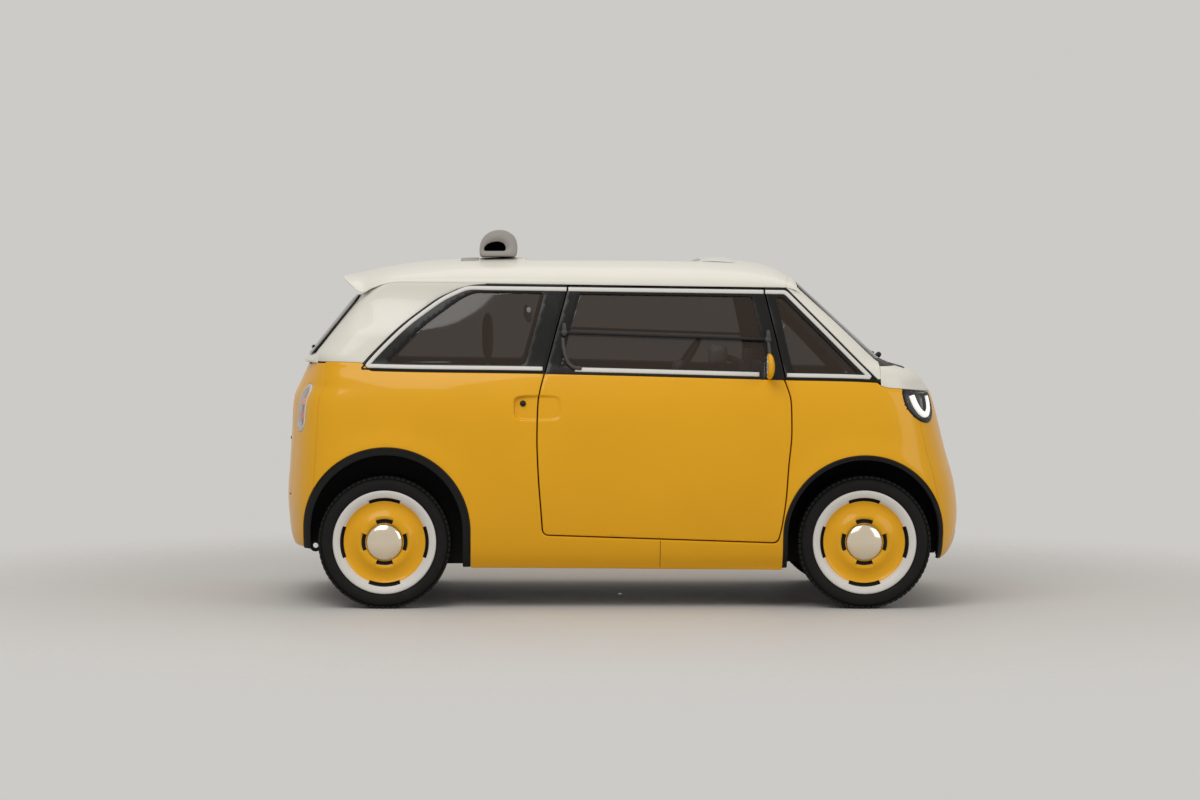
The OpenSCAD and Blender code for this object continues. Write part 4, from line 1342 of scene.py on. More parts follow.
@dataclass
class Cabin:
    """Fixed cabin sides: window frames and glass, white pillars and the white strip round the windows."""

    strip_w: float = 18.0

    def c_post(self, u: Array, v: Array) -> Array:
        """Rear pillar; the chart runs 300 forward and 400 up."""
        a, b = u / 300.0, v / 400.0
        x = np.full_like(a, -1250.0)
        for _ in range(5):
            low, high = FORM.top_z(x) + 0.6, FORM.rail_z(x) + 1
            z = low + (high - low) * b
            back = FORM.plan_x(0.74 * FORM.half_w(z), z, -1)
            x = back + (FORM.window_back(z) - 4 - back) * np.sign(a) * np.abs(a) ** 1.5
        made = FORM.cabin(x, z)
        rise = np.clip((z - 1230) / np.maximum(FORM.rail_z(x) - 1230, 1), 0, 1)
        turn = np.clip(a / 0.35, 0, 1)
        flush = rise**2 * (3 - 2 * rise) * turn**2 * (3 - 2 * turn)
        edge = np.minimum(FORM.roof_half(x), -made[..., 1] + 120 * turn)
        made[..., 1] += flush * (-edge - made[..., 1])
        return made

    def a_post(self, u: Array, v: Array) -> Array:
        """Front pillar; the chart runs 60 forward and 500 up."""
        a, b = u / 60.0, v / 500.0
        z = 1034 + (float(FORM.rail_z(720.0)) + 2 - 1034) * b
        front = np.minimum(FORM.plan_x(0.885 * FORM.half_w(z), z, 1), POST_FOOT)
        x = FORM.window_front(z) + (front - FORM.window_front(z)) * a
        return FORM.cabin(x, z)

    def build(self, shop: Shop) -> None:
        """Makes the cabin's sides."""
        rect = lambda w, h: np.array([[0, 0], [w, 0], [w, h], [0, h]], float)
        rear = panel(self.c_post, rect(300, 400), step=14, edge=8, radius=2, hem=20)
        front = panel(self.a_post, rect(60, 500), step=10, edge=8, radius=3, hem=20)
        shop.add("white_pillars", rear.joined(front), "white_paint", "body", Slot.WHITE, ("pillars",), True)
        rings = [RingFrame.quarter(), RingFrame.vent()]
        shape = rings[0].ring().joined(rings[1].ring())
        shop.add("side_window_frames", shape, "black_gloss", "body", Slot.TRIM, ("side_frames",), True)
        panes = rings[0].pane(6).joined(rings[1].pane(6))
        shop.add("side_window_glass", panes, "side_glass", "body", Slot.GLASS, ("glazing",), True)
        shop.add("window_strip", self.window_strip(), "white_trim", "body", Slot.WHITE, (), True)
        shop.add("window_line", self.window_line(), "shade_black", "body", Slot.TRIM, (), True)

    def rims(self, inset: float, belt: float) -> tuple[Array, Array, Array]:
        """Lines round the windows.

        Args:
            inset: How far the lines run inside the windows' edges.
            belt: How far they run above the belt.

        Returns:
            The lines behind the door, over it and ahead of it.
        """
        low = lambda x: FORM.top_z(np.clip(x, -1128, 1104)) + belt
        rail = lambda x: FORM.rail_z(x) - inset
        behind = lambda z: FORM.window_back(z) + inset * 1.15
        ahead = lambda z: FORM.window_front(z) - inset * 1.25
        foot = [1090.0, 1050.0]
        for _ in range(8):
            foot = [float(low(edge(np.array(z)))) for edge, z in zip((behind, ahead), foot)]
        post_b, post_a = float(FORM.pillar_b(1436.0)), float(FORM.pillar_a(1430.0))
        back = along_z(behind, foot[0], 1446, 50)
        rear = line_xz(back, along_x(rail, float(back[-1, 0]) + 40, post_b - SHUT_GAP))
        rear = resample(rear, 8, closed=False)
        calm = rear.copy()
        for k in range(4, len(rear) - 4):
            calm[k] = rear[k - 4 : k + 5].mean(0)
        rear = line_xz(along_x(low, -374, float(back[0, 0]) + 2), calm)
        over = along_x(rail, post_b + 2, post_a - 2)
        level = along_x(rail, post_a + SHUT_GAP, float(ahead(1443.0 - inset)) - 6)
        front = line_xz(level, along_z(ahead, 1436 - inset, foot[1]))
        front = line_xz(front, along_x(low, float(front[-1, 0]) - 2, 724))
        return rear, over, front

    def window_strip(self) -> Shape:
        """White strips round the windows behind and ahead of the door."""
        rear, _, front = self.rims(21, 22)
        rear, front = [strip(FORM.cabin, line, self.strip_w, 4, 7) for line in (rear, front)]
        return rear.joined(front)

    def window_line(self) -> Shape:
        """The thin dark line outside the white strip and under the belt."""
        rear, _, front = self.rims(8, 9)
        return strip(FORM.cabin, rear, 8, 2.2, 7).joined(strip(FORM.cabin, front, 8, 2.2, 7))


@dataclass
class Ends:
    """Front and rear faces with the lamps' openings, bonnet, wing caps, windscreen and tailgate."""

    gate_y: float = 480.0
    gate_foot: float = 500.0
    lid_y: float = 540.0

    def face_outline(self, foot: float, top: float, arch: tuple[float, float, float], end: int) -> Array:
        """Outline of the front or rear face in (across, height)."""
        z = np.linspace(foot, top, 160)
        reach = np.clip(np.abs(FORM.arch_x(z, arch, end)), 0, None)
        limit = FORM.plan_y(end * reach, z)
        y = np.minimum(FORM.corner_y(z), limit)
        right = np.stack([y, z], -1)
        left = np.stack([-y, z], -1)[::-1]
        return line_xz(right, left)

    def nose_panel(self, shop: Shop) -> None:
        """Makes the yellow front face."""
        line = self.face_outline(208, 972, FORM.front_arch, 1)
        shape = panel(FORM.nose, resample(line, 5), step=14, edge=7, radius=2.5, hem=40, inward=round_corner)
        cover = lambda p: LAMP.covers(np.stack([p[:, 0], -np.abs(p[:, 1]), p[:, 2]], -1), -4.0)
        shop.add("nose_face", without(shape, cover), "yellow_paint", "body", Slot.BODY, ("nose_panel",))

    def tail_panel(self, shop: Shop) -> None:
        """Makes the yellow rear face with the tailgate's opening."""
        line = self.face_outline(268, 1104, FORM.rear_arch, -1)
        gap = SHUT_GAP
        y, z = self.gate_y + gap, self.gate_foot - gap
        right = line[line[:, 0] > 0]
        left = line[line[:, 0] < 0]
        opening = np.array([[-y, 1104], [-y, z], [y, z], [y, 1104]], float)
        half = np.array([[0, 268]], float)
        outline = line_xz(half, right, opening[::-1], left)
        made = resample(outline, 4.0)
        for s in (-1, 1):
            made = bend_corner(made, (s * y, z), 46)
        lamps = [TAIL_LAMP.outline(s, 2.0) for s in (-1, 1)]
        shape = panel(FORM.tail, made, lamps, step=18, edge=7, radius=3.0, hem=36, inward=round_corner)
        shop.add("tail_face", shape, "yellow_paint", "body", Slot.BODY, ("tail_panel",))

    def tailgate(self, shop: Shop) -> None:
        """Makes the tailgate's panel, glass and frame."""
        y = self.gate_y
        box = np.array([[-y, self.gate_foot], [y, self.gate_foot], [y, 1098], [-y, 1098]], float)
        line = resample(box, 4.0)
        for s in (-1, 1):
            line = bend_corner(line, (s * y, self.gate_foot), 40)

        def pressed(u: Array, z: Array) -> Array:
            """The rear face with a plate recess pressed in."""
            made = FORM.tail(u, z)
            a, b = np.abs(u) / 270.0, np.abs(z - 640) / 78.0
            far = np.clip((1 - (a**6 + b**6) ** (1 / 6)) / 0.12, 0, 1)
            made[..., 0] += 12 * far * far * (3 - 2 * far)
            return made

        shape = panel(pressed, line, step=16, edge=8, radius=3.5, hem=30)
        shop.add("tailgate_skin", shape, "yellow_paint", "tailgate", Slot.BODY, ("tailgate_panel",))
        proud = lambda u, z: pressed(u, z) + np.array([-3.0, 0, 0])
        box = np.array([[-240, 588], [240, 588], [240, 692], [-240, 692]], float)
        plate = panel(proud, box, step=40, edge=20, radius=1, hem=2)
        shop.add("plate_blank", plate, "white_trim", "tailgate", Slot.WHITE)
        grip = tube(FORM.tail(np.linspace(-110, 110, 14), np.full(14, 742.0)) + np.array([2.0, 0, 0]), 9.0)
        shop.add("tailgate_grip", grip, "black_plastic", "tailgate", Slot.TRIM)
        back = lambda out: lambda u, z: FORM.tail(u, z) - np.array([out, 0.0, 0.0])
        outer = resample(np.array([[-500, 1142], [500, 1142], [500, 1400], [-500, 1400]], float), 5)
        outer = soften(outer, 70, 5)
        shape = panel(back(12.0), outer, step=30, edge=14, radius=2, hem=4)
        shop.add("tailgate_pane", shape, "screen_glass", "tailgate", Slot.GLASS, ("tailgate_glass",))
        ring = resample(np.array([[-440, 1099], [440, 1099], [440, 1412], [-440, 1412]], float), 5)
        hole = np.array([[-385, 1150], [385, 1150], [385, 1370], [-385, 1370]], float)
        hole = soften(resample(hole, 5), 60, 5)
        shape = panel(back(5.5), ring, [hole], step=20, edge=12, radius=2, hem=18)
        node = "tailgate_frame"
        shop.add("tailgate_window_frame", shape, "black_gloss", "tailgate", Slot.TRIM, (node,))
        shop.add("tailgate_ledge", self.ledge(-476, 476, 0), "white_paint", "tailgate", Slot.WHITE)
        shop.add("pillar_ledges", self.ledge(484, 596, 90), "white_paint", "body", Slot.WHITE, (), True)
        blade = FORM.tail(np.linspace(-20, 300, 12), np.linspace(1160, 1176, 12))
        wiper = tube(blade - np.array([16.0, 0, 0]), 5.0, 8)
        shop.add("tailgate_wiper", wiper, "black_plastic", "tailgate", Slot.TRIM)

    def ledge(self, start: float, end: float, taper: float) -> Shape:
        """A white ledge below the rear window, which thins out over its last part."""
        u = np.linspace(start, end, 60)
        share = np.clip((end - u) / taper, 0, 1) if taper else np.ones(60)
        rows = []
        for out, z in ((-4, 1146), (9, 1134), (24, 1117), (26, 1110), (19, 1105), (-6, 1102)):
            made = FORM.tail(u, np.full(60, float(z)))
            made[:, 0] -= out * np.sqrt(share)
            rows.append(made)
        return loft(np.stack(rows, 1), wrap=False, caps=True)

    def bonnet(self, shop: Shop) -> None:
        """Makes the white bonnet and the wing caps beside it."""
        y = self.lid_y
        box = lambda low, high: resample(np.array([[-y, low], [y, low], [y, high], [-y, high]], float), 5)

        def face(u: Array, v: Array) -> Array:
            """The lid's face; heights are spread out where the nose leans back."""
            t = np.clip((v - 978) / 118, -0.1, 1.1)
            z = 978 + 118 * np.sign(t) * np.abs(t) ** 0.8
            return FORM.nose(u, z)

        shape = panel(face, box(978, 1075), step=12, edge=7, radius=3, hem=16)
        shop.add("bonnet_skin", shape, "white_paint", "bonnet", Slot.WHITE, ("bonnet",))
        shape = panel(face, box(1075.5, 1096), step=9, edge=7, radius=2, hem=16)
        shop.add("bonnet_rear_edge", shape, "black_plastic", "bonnet", Slot.TRIM)

        def cap(u: Array, v: Array) -> Array:
            """The cap's face; the chart runs 260 round the corner and 110 up."""
            a, b = u / 260.0, v / 110.0
            post = POST_FOOT
            turn = np.cos(math.pi / 2 * np.clip(a, -0.02, 1.02))
            z = np.full_like(a, 1000.0)
            for _ in range(5):
                y = self.lid_y + 6 + (FORM.plan_y(post, z) - self.lid_y - 6) * turn
                low = FORM.top_z(FORM.plan_x(y, z, 1)) + 1.4
                z = low + (1092 - low) * b
            return np.stack([FORM.plan_x(y, z, 1), -y, z], -1)

        box = np.array([[0, 0], [260, 0], [260, 110], [0, 110]], float)
        shape = panel(cap, resample(box, 5), step=10, edge=6, radius=2.5, hem=14)
        shop.add("wing_cap_skins", shape, "white_paint", "body", Slot.WHITE, ("wing_caps",), True)

    def windscreen(self, shop: Shop) -> None:
        """Makes the windscreen, its dark border, the scuttle and the wiper."""
        foot = Roof().front_edge()[1]
        foot = foot[foot[:, 1] >= 0]
        limit = lambda y: np.interp(np.abs(y), foot[:, 1], foot[:, 2]) - 2
        z = np.linspace(1124, 1480, 180)
        y = SCREEN_SHARE * FORM.half_w(z)
        y, z = y[z < limit(y)], z[z < limit(y)]
        top = np.linspace(y[-1], -y[-1], 80)
        line = line_xz(np.stack([y, z], -1), np.stack([top, limit(top)], -1), np.stack([-y, z], -1)[::-1])
        line = resample(line, 6)
        shape = panel(FORM.nose, line, step=34, edge=14, radius=1, hem=5)
        shop.add("windscreen_glass", shape, "screen_glass", "body", Slot.GLASS)
        inner = soften(line, 60, 6)
        middle = inner.mean(0)
        inner = middle + (inner - middle) * (0.94, 0.9)
        under = lambda u, v: FORM.nose(u, v) - np.array([5.0, 0.0, 5.0])
        shape = panel(under, line, [inner], step=20, edge=12, radius=0.5, hem=2)
        shop.add("windscreen_border", shape, "black_gloss", "body", Slot.TRIM)
        lid, post = self.lid_y + 8, POST_FOOT
        z = np.linspace(1093, 1123, 12)
        y = np.maximum(SCREEN_SHARE * FORM.half_w(z), FORM.plan_y(post, z)) - 1
        right = line_xz(np.array([[lid, 1101], [lid, 1093]], float), np.stack([y, z], -1))
        line = resample(line_xz(right, right[::-1] * (-1, 1)), 6)
        shape = panel(FORM.nose, line, step=10, edge=8, radius=2, hem=14)
        shop.add("scuttle", shape, "black_plastic", "body", Slot.TRIM, ("cowl",))
        arm = FORM.nose(np.linspace(-90, 400, 16), np.linspace(1133, 1150, 16)) + np.array([7.0, 0.0, 6.0])
        blade = tube(arm, 5.5, 8)
        pivot = FORM.nose(np.array([-90.0]), np.array([1118.0]))[0]
        blade = blade.joined(tube(np.array([pivot + (-4, 0, -4), pivot + (14, 0, 13)]), 13, 14))
        shop.add("wiper_arm", blade, "black_plastic", "body", Slot.TRIM)

    def build(self, shop: Shop) -> None:
        """Makes both ends."""
        self.nose_panel(shop)
        self.tail_panel(shop)
        self.tailgate(shop)
        self.bonnet(shop)
        self.windscreen(shop)


@dataclass
class TailLamp:
    """The upright tail lamps."""

    y: float = 588.0
    z: float = 900.0
    reach: float = 62.0
    radius: float = 45.0

    def outline(self, hand: int, grow: float = 0.0) -> Array:
        """The lamp's rounded outline in (across, height)."""
        angle = np.linspace(0, 2 * math.pi, 80, endpoint=False)
        r = self.radius + grow
        z = self.z + np.where(np.sin(angle) >= 0, self.reach, -self.reach) + r * np.sin(angle)
        return np.stack([hand * self.y + r * np.cos(angle), z], -1)

    def scaled(self, hand: int, share: float) -> Array:
        """The outline shrunk about its middle."""
        middle = np.array([hand * self.y, self.z])
        return middle + (self.outline(hand) - middle) * share

    def build(self, shop: Shop) -> None:
        """Makes the covers, the reflectors and the coloured lights."""
        out = lambda by: lambda u, z: FORM.tail(u, z) - np.array([by, 0.0, 0.0])
        cover = panel(out(7.0), self.outline(1), step=14, edge=6, radius=5, hem=20)
        shop.add("tail_covers", cover, "tail_cover", "body", Slot.LENS, ("lamps",), True)
        rim = panel(out(2.5), self.outline(1, 1.5), [self.scaled(1, 0.86)], step=12, edge=6, radius=2, hem=16)
        shop.add("tail_rims", rim, "white_trim", "body", Slot.LENS, (), True)
        back = panel(out(-20.0), self.outline(1), step=14, edge=8, radius=1, hem=2)
        shop.add("tail_bowls", back, "white_trim", "body", Slot.LENS, (), True)
        red = np.array([[552, 846], [624, 846], [624, 880], [552, 880]], float)
        amber = np.array([[552, 912], [624, 912], [624, 946], [552, 946]], float)
        soft = lambda box: soften(resample(box, 3), 18, 3)
        block = lambda box: panel(out(-8.0), soft(box), step=10, edge=5, radius=4, hem=10)
        shop.add("tail_stop_lights", block(red), "red_light", "body", Slot.LENS, (), True)
        shop.add("tail_turn_lights", block(amber), "amber_light", "body", Slot.LENS, (), True)


TAIL_LAMP = TailLamp()


@dataclass
class HeadLamps:
    """Headlamp bowls, bezels, light bars and covers."""

    dome: float = 18.0

    def surface_at(self, a: Array, b: Array) -> Array:
        """Points of the body in front of the lamp's bore.

        Args:
            a: Places across the axis, level.
            b: Places across the axis, upward.

        Returns:
            Points on the body's surface.
        """
        axis, level, up = LAMP.frame()
        base = np.array(LAMP.centre) + a[..., None] * level + b[..., None] * up
        t = np.full(a.shape, 120.0)
        low, high = np.full(a.shape, -260.0), np.full(a.shape, 260.0)
        for _ in range(40):
            t = (low + high) / 2
            p = base + t[..., None] * axis
            z = np.clip(p[..., 2], 180, 1500)
            reach = FORM.nose_x(z)
            share = (np.clip(np.abs(p[..., 0]) / reach, 0, 3)) ** FORM.corner_p(z)
            share = share + (np.clip(np.abs(p[..., 1]) / FORM.half_w(z), 0, 3)) ** FORM.corner_q
            low = np.where(share < 1, t, low)
            high = np.where(share < 1, high, t)
        return base + t[..., None] * axis

    def face(self, sink: float) -> Surface:
        """The lamp's domed face in its own chart, sunk along its axis."""
        axis = LAMP.frame()[0]

        def at(a: Array, b: Array) -> Array:
            """Points of the face."""
            a, b = np.asarray(a, float), np.asarray(b, float)
            rise = self.dome * np.clip(1 - (a**2 + b**2) / LAMP.radius**2, 0, 1) - sink
            return self.surface_at(a, b) + rise[..., None] * axis

        return at

    def lid_line(self, radius: float) -> Array:
        """The lamp's outline in its own chart: a circle cut level by the bonnet's edge."""
        angle = np.linspace(0, 2 * math.pi, 120, endpoint=False)
        a, b = radius * np.cos(angle), radius * np.sin(angle)
        points = self.surface_at(a, b)
        limit = FORM.top_z(np.clip(points[:, 0], 1000, 1415)) - 2
        for _ in range(8):
            over = np.clip(points[:, 2] - limit, 0, None)
            b = b - over
            points = self.surface_at(a, b)
            limit = FORM.top_z(np.clip(points[:, 0], 1000, 1415)) - 2
        return np.stack([a, b], -1)

    def build(self, shop: Shop) -> None:
        """Makes both lamps."""
        rim = self.lid_line(LAMP.radius)
        middle = rim.mean(0)
        inner = middle + (rim - middle) * 0.9
        bezel = panel(self.face(-3.0), resample(rim, 5), [inner], step=9, edge=5, radius=2, hem=40)
        shop.add("headlamp_bezels", bezel, "black_gloss", "body", Slot.TRIM, (), True)
        bowl = panel(self.face(34.0), middle + (rim - middle) * 0.93, step=12, edge=7, radius=1, hem=2)
        shop.add("headlamp_bowls", bowl, "black_gloss", "body", Slot.TRIM, (), True)
        cover = panel(self.face(-0.5), middle + (rim - middle) * 0.92, step=12, edge=7, radius=2, hem=3)
        shop.add("headlamp_covers", cover, "lamp_cover", "body", Slot.LENS, (), True)
        left = [[-66, 22], [-60, -14], [-41, -46], [-13, -65], [16, -69], [44, -55], [63, -22], [70, 18]]
        left = np.array(left, float)
        line = resample(left + middle * (1, 0.55), 6, closed=False)
        smooth = line.copy()
        for k in range(3, len(line) - 3):
            smooth[k] = line[k - 3 : k + 4].mean(0)
        bar = strip(self.face(12.0), smooth, 26, 8)
        shop.add("headlamp_bars", bar, "white_light", "body", Slot.LENS, (), True)


@dataclass
class Roof:
    """The white roof with its open middle, the fabric roll behind it and the front bow."""

    opening: tuple[float, float, float] = (-440.0, 370.0, 400.0)
    tail_end: float = REAR_AXLE - 192
    nose_end: float = FRONT_AXLE - 287
    reach: float = 700.0

    def skin(self, x: Array, t: Array) -> Array:
        """The roof's outer face; the chart runs along the car and 700 each way round the crown."""
        s = np.sin(np.clip(t / self.reach, -1.02, 1.02) * math.pi / 2)
        share = np.clip((x - self.tail_end) / (self.nose_end - self.tail_end), -0.02, 1.02)
        place = self.tail_end + share * (self.nose_end - 55 * s**2 - self.tail_end)
        rise = np.sqrt(np.clip(1 - np.abs(s) ** 3, 0, 1))
        low, high = FORM.rail_z(place), FORM.crown_z(place)
        return np.stack([place, s * FORM.roof_half(place), low + (high - low) * rise], -1)

    def build(self, shop: Shop) -> None:
        """Makes the roof, its lining, the roll and the bow."""
        x0, x1, y = self.opening
        half = float(FORM.roof_half(0.0))
        edge = self.reach * math.asin(y / half) * 2 / math.pi
        box = lambda a, b, w: np.array([[a, -w], [b, -w], [b, w], [a, w]], float)
        outline = resample(box(self.tail_end, self.nose_end, self.reach), 6)
        hole = soften(resample(box(x0, x1, edge), 5), 90, 5)
        shape = panel(self.skin, outline, [hole], step=16, edge=9, radius=2.5, hem=(3.0, 22.0))
        shop.add("roof_skin", shape, "white_paint", "body", Slot.WHITE, ("roof",))
        inner = lambda x, t: self.skin(x, -t) - np.array([0.0, 0.0, 20.0])
        line = resample(box(self.tail_end + 90, self.nose_end - 30, self.reach * 0.9), 10)
        lining = panel(inner, line, [hole * (1, -1)], step=40, edge=20, radius=2, hem=4)
        shop.add("roof_lining", lining, "grey_plastic", "body", Slot.TRIM)
        self.eave(shop)
        self.header(shop)
        self.roll(shop)
        self.bow(shop)

    def eave(self, shop: Shop) -> None:
        """Closes the underside of the roof's rear lip."""
        t = np.linspace(-self.reach, self.reach, 60)
        rows = []
        for share in (0.0, 0.35, 0.7, 1.0):
            x = self.tail_end + 2 + share * 130
            top = self.skin(np.full(60, x), t)
            low = FORM.rail_z(top[:, 0]) + 1
            rows.append(np.stack([top[:, 0], top[:, 1] * 0.995, np.minimum(low, top[:, 2] - 1)], -1))
        shape = loft(np.stack(rows[::-1]), wrap=False, caps=False)
        rear = self.skin(np.full(60, self.tail_end + 1.0), t)
        lip = loft(np.stack([rows[0], rear]), wrap=False, caps=False)
        shop.add("roof_lip", shape.joined(lip), "white_paint", "body", Slot.WHITE)

    def front_edge(self) -> tuple[Array, Array]:
        """The roof's front edge and the line on the windscreen's face where the header ends."""
        t = np.linspace(-self.reach, self.reach, 81)
        edge = self.skin(np.full(81, self.nose_end - 1.0), t)
        share = np.sin(t / self.reach * math.pi / 2)
        z = edge[:, 2] - 8 - 16 * share**2
        y = np.clip(edge[:, 1], -0.985 * FORM.half_w(z), 0.985 * FORM.half_w(z))
        return edge, np.stack([FORM.plan_x(y, z, 1), y, z], -1)

    def header(self, shop: Shop) -> None:
        """Makes the header that leads from the roof's front edge to the windscreen and its pillars."""
        edge, foot = self.front_edge()
        bulge = np.array([2.5, 0.0, 2.5])
        shares = np.linspace(0, 1, 6)
        rows = [edge + (foot - edge) * k + bulge * math.sin(k * math.pi) for k in shares]
        shape = loft(np.stack(rows), wrap=False, caps=False)
        shop.add("roof_header", shape, "white_paint", "body", Slot.WHITE)

    def roll(self, shop: Shop) -> None:
        """Makes the rolled-back fabric roof: a soft hollow roll with a flat foot, its bore closed and painted
        near-black as the shade inside the hollow.
        """
        outer = np.array(
            [[-84, 3], [82, 3], [87, 22], [88, 56], [80, 88], [60, 111], [32, 123], [0, 126],
             [-34, 119], [-62, 101], [-80, 73], [-86, 40]],
            float,
        )
        hole = [[-66, 28], [34, 28], [36, 48], [24, 66], [2, 73], [-26, 71], [-52, 60], [-66, 44]]
        hole = np.array(hole, float)
        outer = soften(resample(outer, 4), 30, 4)
        hole = soften(resample(hole, 4), 20, 4)
        base = np.array([-573.0, 0.0, 1584.2])
        across = np.linspace(-378, 378, 90)
        count = 96
        closed = lambda loop: np.vstack([loop, loop[:1]])
        length = lambda loop: np.sum(np.linalg.norm(np.diff(closed(loop), axis=0), axis=1))
        line = lambda loop: resample(loop, length(loop) / count)[:count]
        fill = line(hole)
        skin_rows = []
        for y in across:
            ends = min(1.0, (378 - abs(y)) / 14)
            fold = 1.2 * math.sin(y / 31.0) * np.sin(np.arange(count) * 6 * math.pi / count + y / 90)
            loop = line(outer)
            mid = loop.mean(0)
            loop = mid + (loop - mid) * (1 - 0.05 * (1 - ends) ** 2)
            lift = np.where(loop[:, 1] > 30, fold, 0.0)
            skin_rows.append(np.stack([loop[:, 0], np.full(count, y), loop[:, 1] + lift], -1))
        bore = lambda y: np.stack([fill[:, 0], np.full(count, y), fill[:, 1]], -1)
        depths = (240.0, 300.0, 372.0)
        rows = [bore(-y) for y in depths] + skin_rows + [bore(y) for y in reversed(depths)]
        shape = loft(np.stack(rows)[:, ::-1], wrap=True, caps=True).moved(base)
        # The bore's walls and end caps take the near-black finish: painted shade inside the hollow.
        marks = [1 if f[0] // count < 2 or f[0] // count > len(across) + 2 else 0 for f in shape.faces[:-2]]
        shape.marks = marks + [1, 1]
        canvas_and_bore_shade = ("roof_canvas", "shade_black")
        piece = shop.add("fabric_roll", shape, canvas_and_bore_shade, "body", Slot.FABRIC, ("roof_roll",))
        straps = []
        for y in (-250.0, 0.0, 250.0):
            band = np.stack([outer[:, 0], np.full(len(outer), 0.0), outer[:, 1]], -1)
            mid = band.mean(0)
            band = mid + (band - mid) * 1.012
            rows = [band + base + (0, y + w, 0) for w in (-13, -12, 12, 13)]
            for edge in (0, 3):
                rows[edge] = rows[edge] - (band - mid) * 0.01
            straps.append(loft(np.stack(rows)[:, ::-1], wrap=True, caps=False))
        shop.add("roll_straps", straps[0].joined(*straps[1:]), "black_plastic", "body", Slot.TRIM)
        shelf = np.array([[-746, -392], [-662, -392], [-662, 392], [-746, 392]], float)
        top = lambda x, y: np.stack([x, y, FORM.crown_z(x) + 2 - 14 * (np.abs(y) / 400) ** 3], -1)
        shape = panel(top, soften(resample(shelf, 5), 30, 5), step=24, edge=9, radius=4, hem=8)
        shop.add("roll_step", shape, "roof_canvas", "body", Slot.FABRIC)

    def bow(self, shop: Shop) -> None:
        """Makes the low bow at the front of the roof's opening."""
        y = np.linspace(-392, 392, 50)
        section = [(-78, -3), (-66, 5), (-24, 11), (22, 11), (72, 5), (92, -3)]
        rows = []
        for dx, dz in section:
            x = 452.0 + dx + 0 * y
            drop = self.skin(x, self.reach * np.arcsin(y / float(FORM.roof_half(452.0))) * 2 / math.pi)
            rise = dz * np.sqrt(np.clip(1 - (y / 394) ** 8, 0, 1))
            rows.append(np.stack([drop[:, 0], drop[:, 1], drop[:, 2] + rise], -1))
        shop.add("roof_bow", loft(np.stack(rows), wrap=False, caps=False), "white_trim", "body", Slot.WHITE)


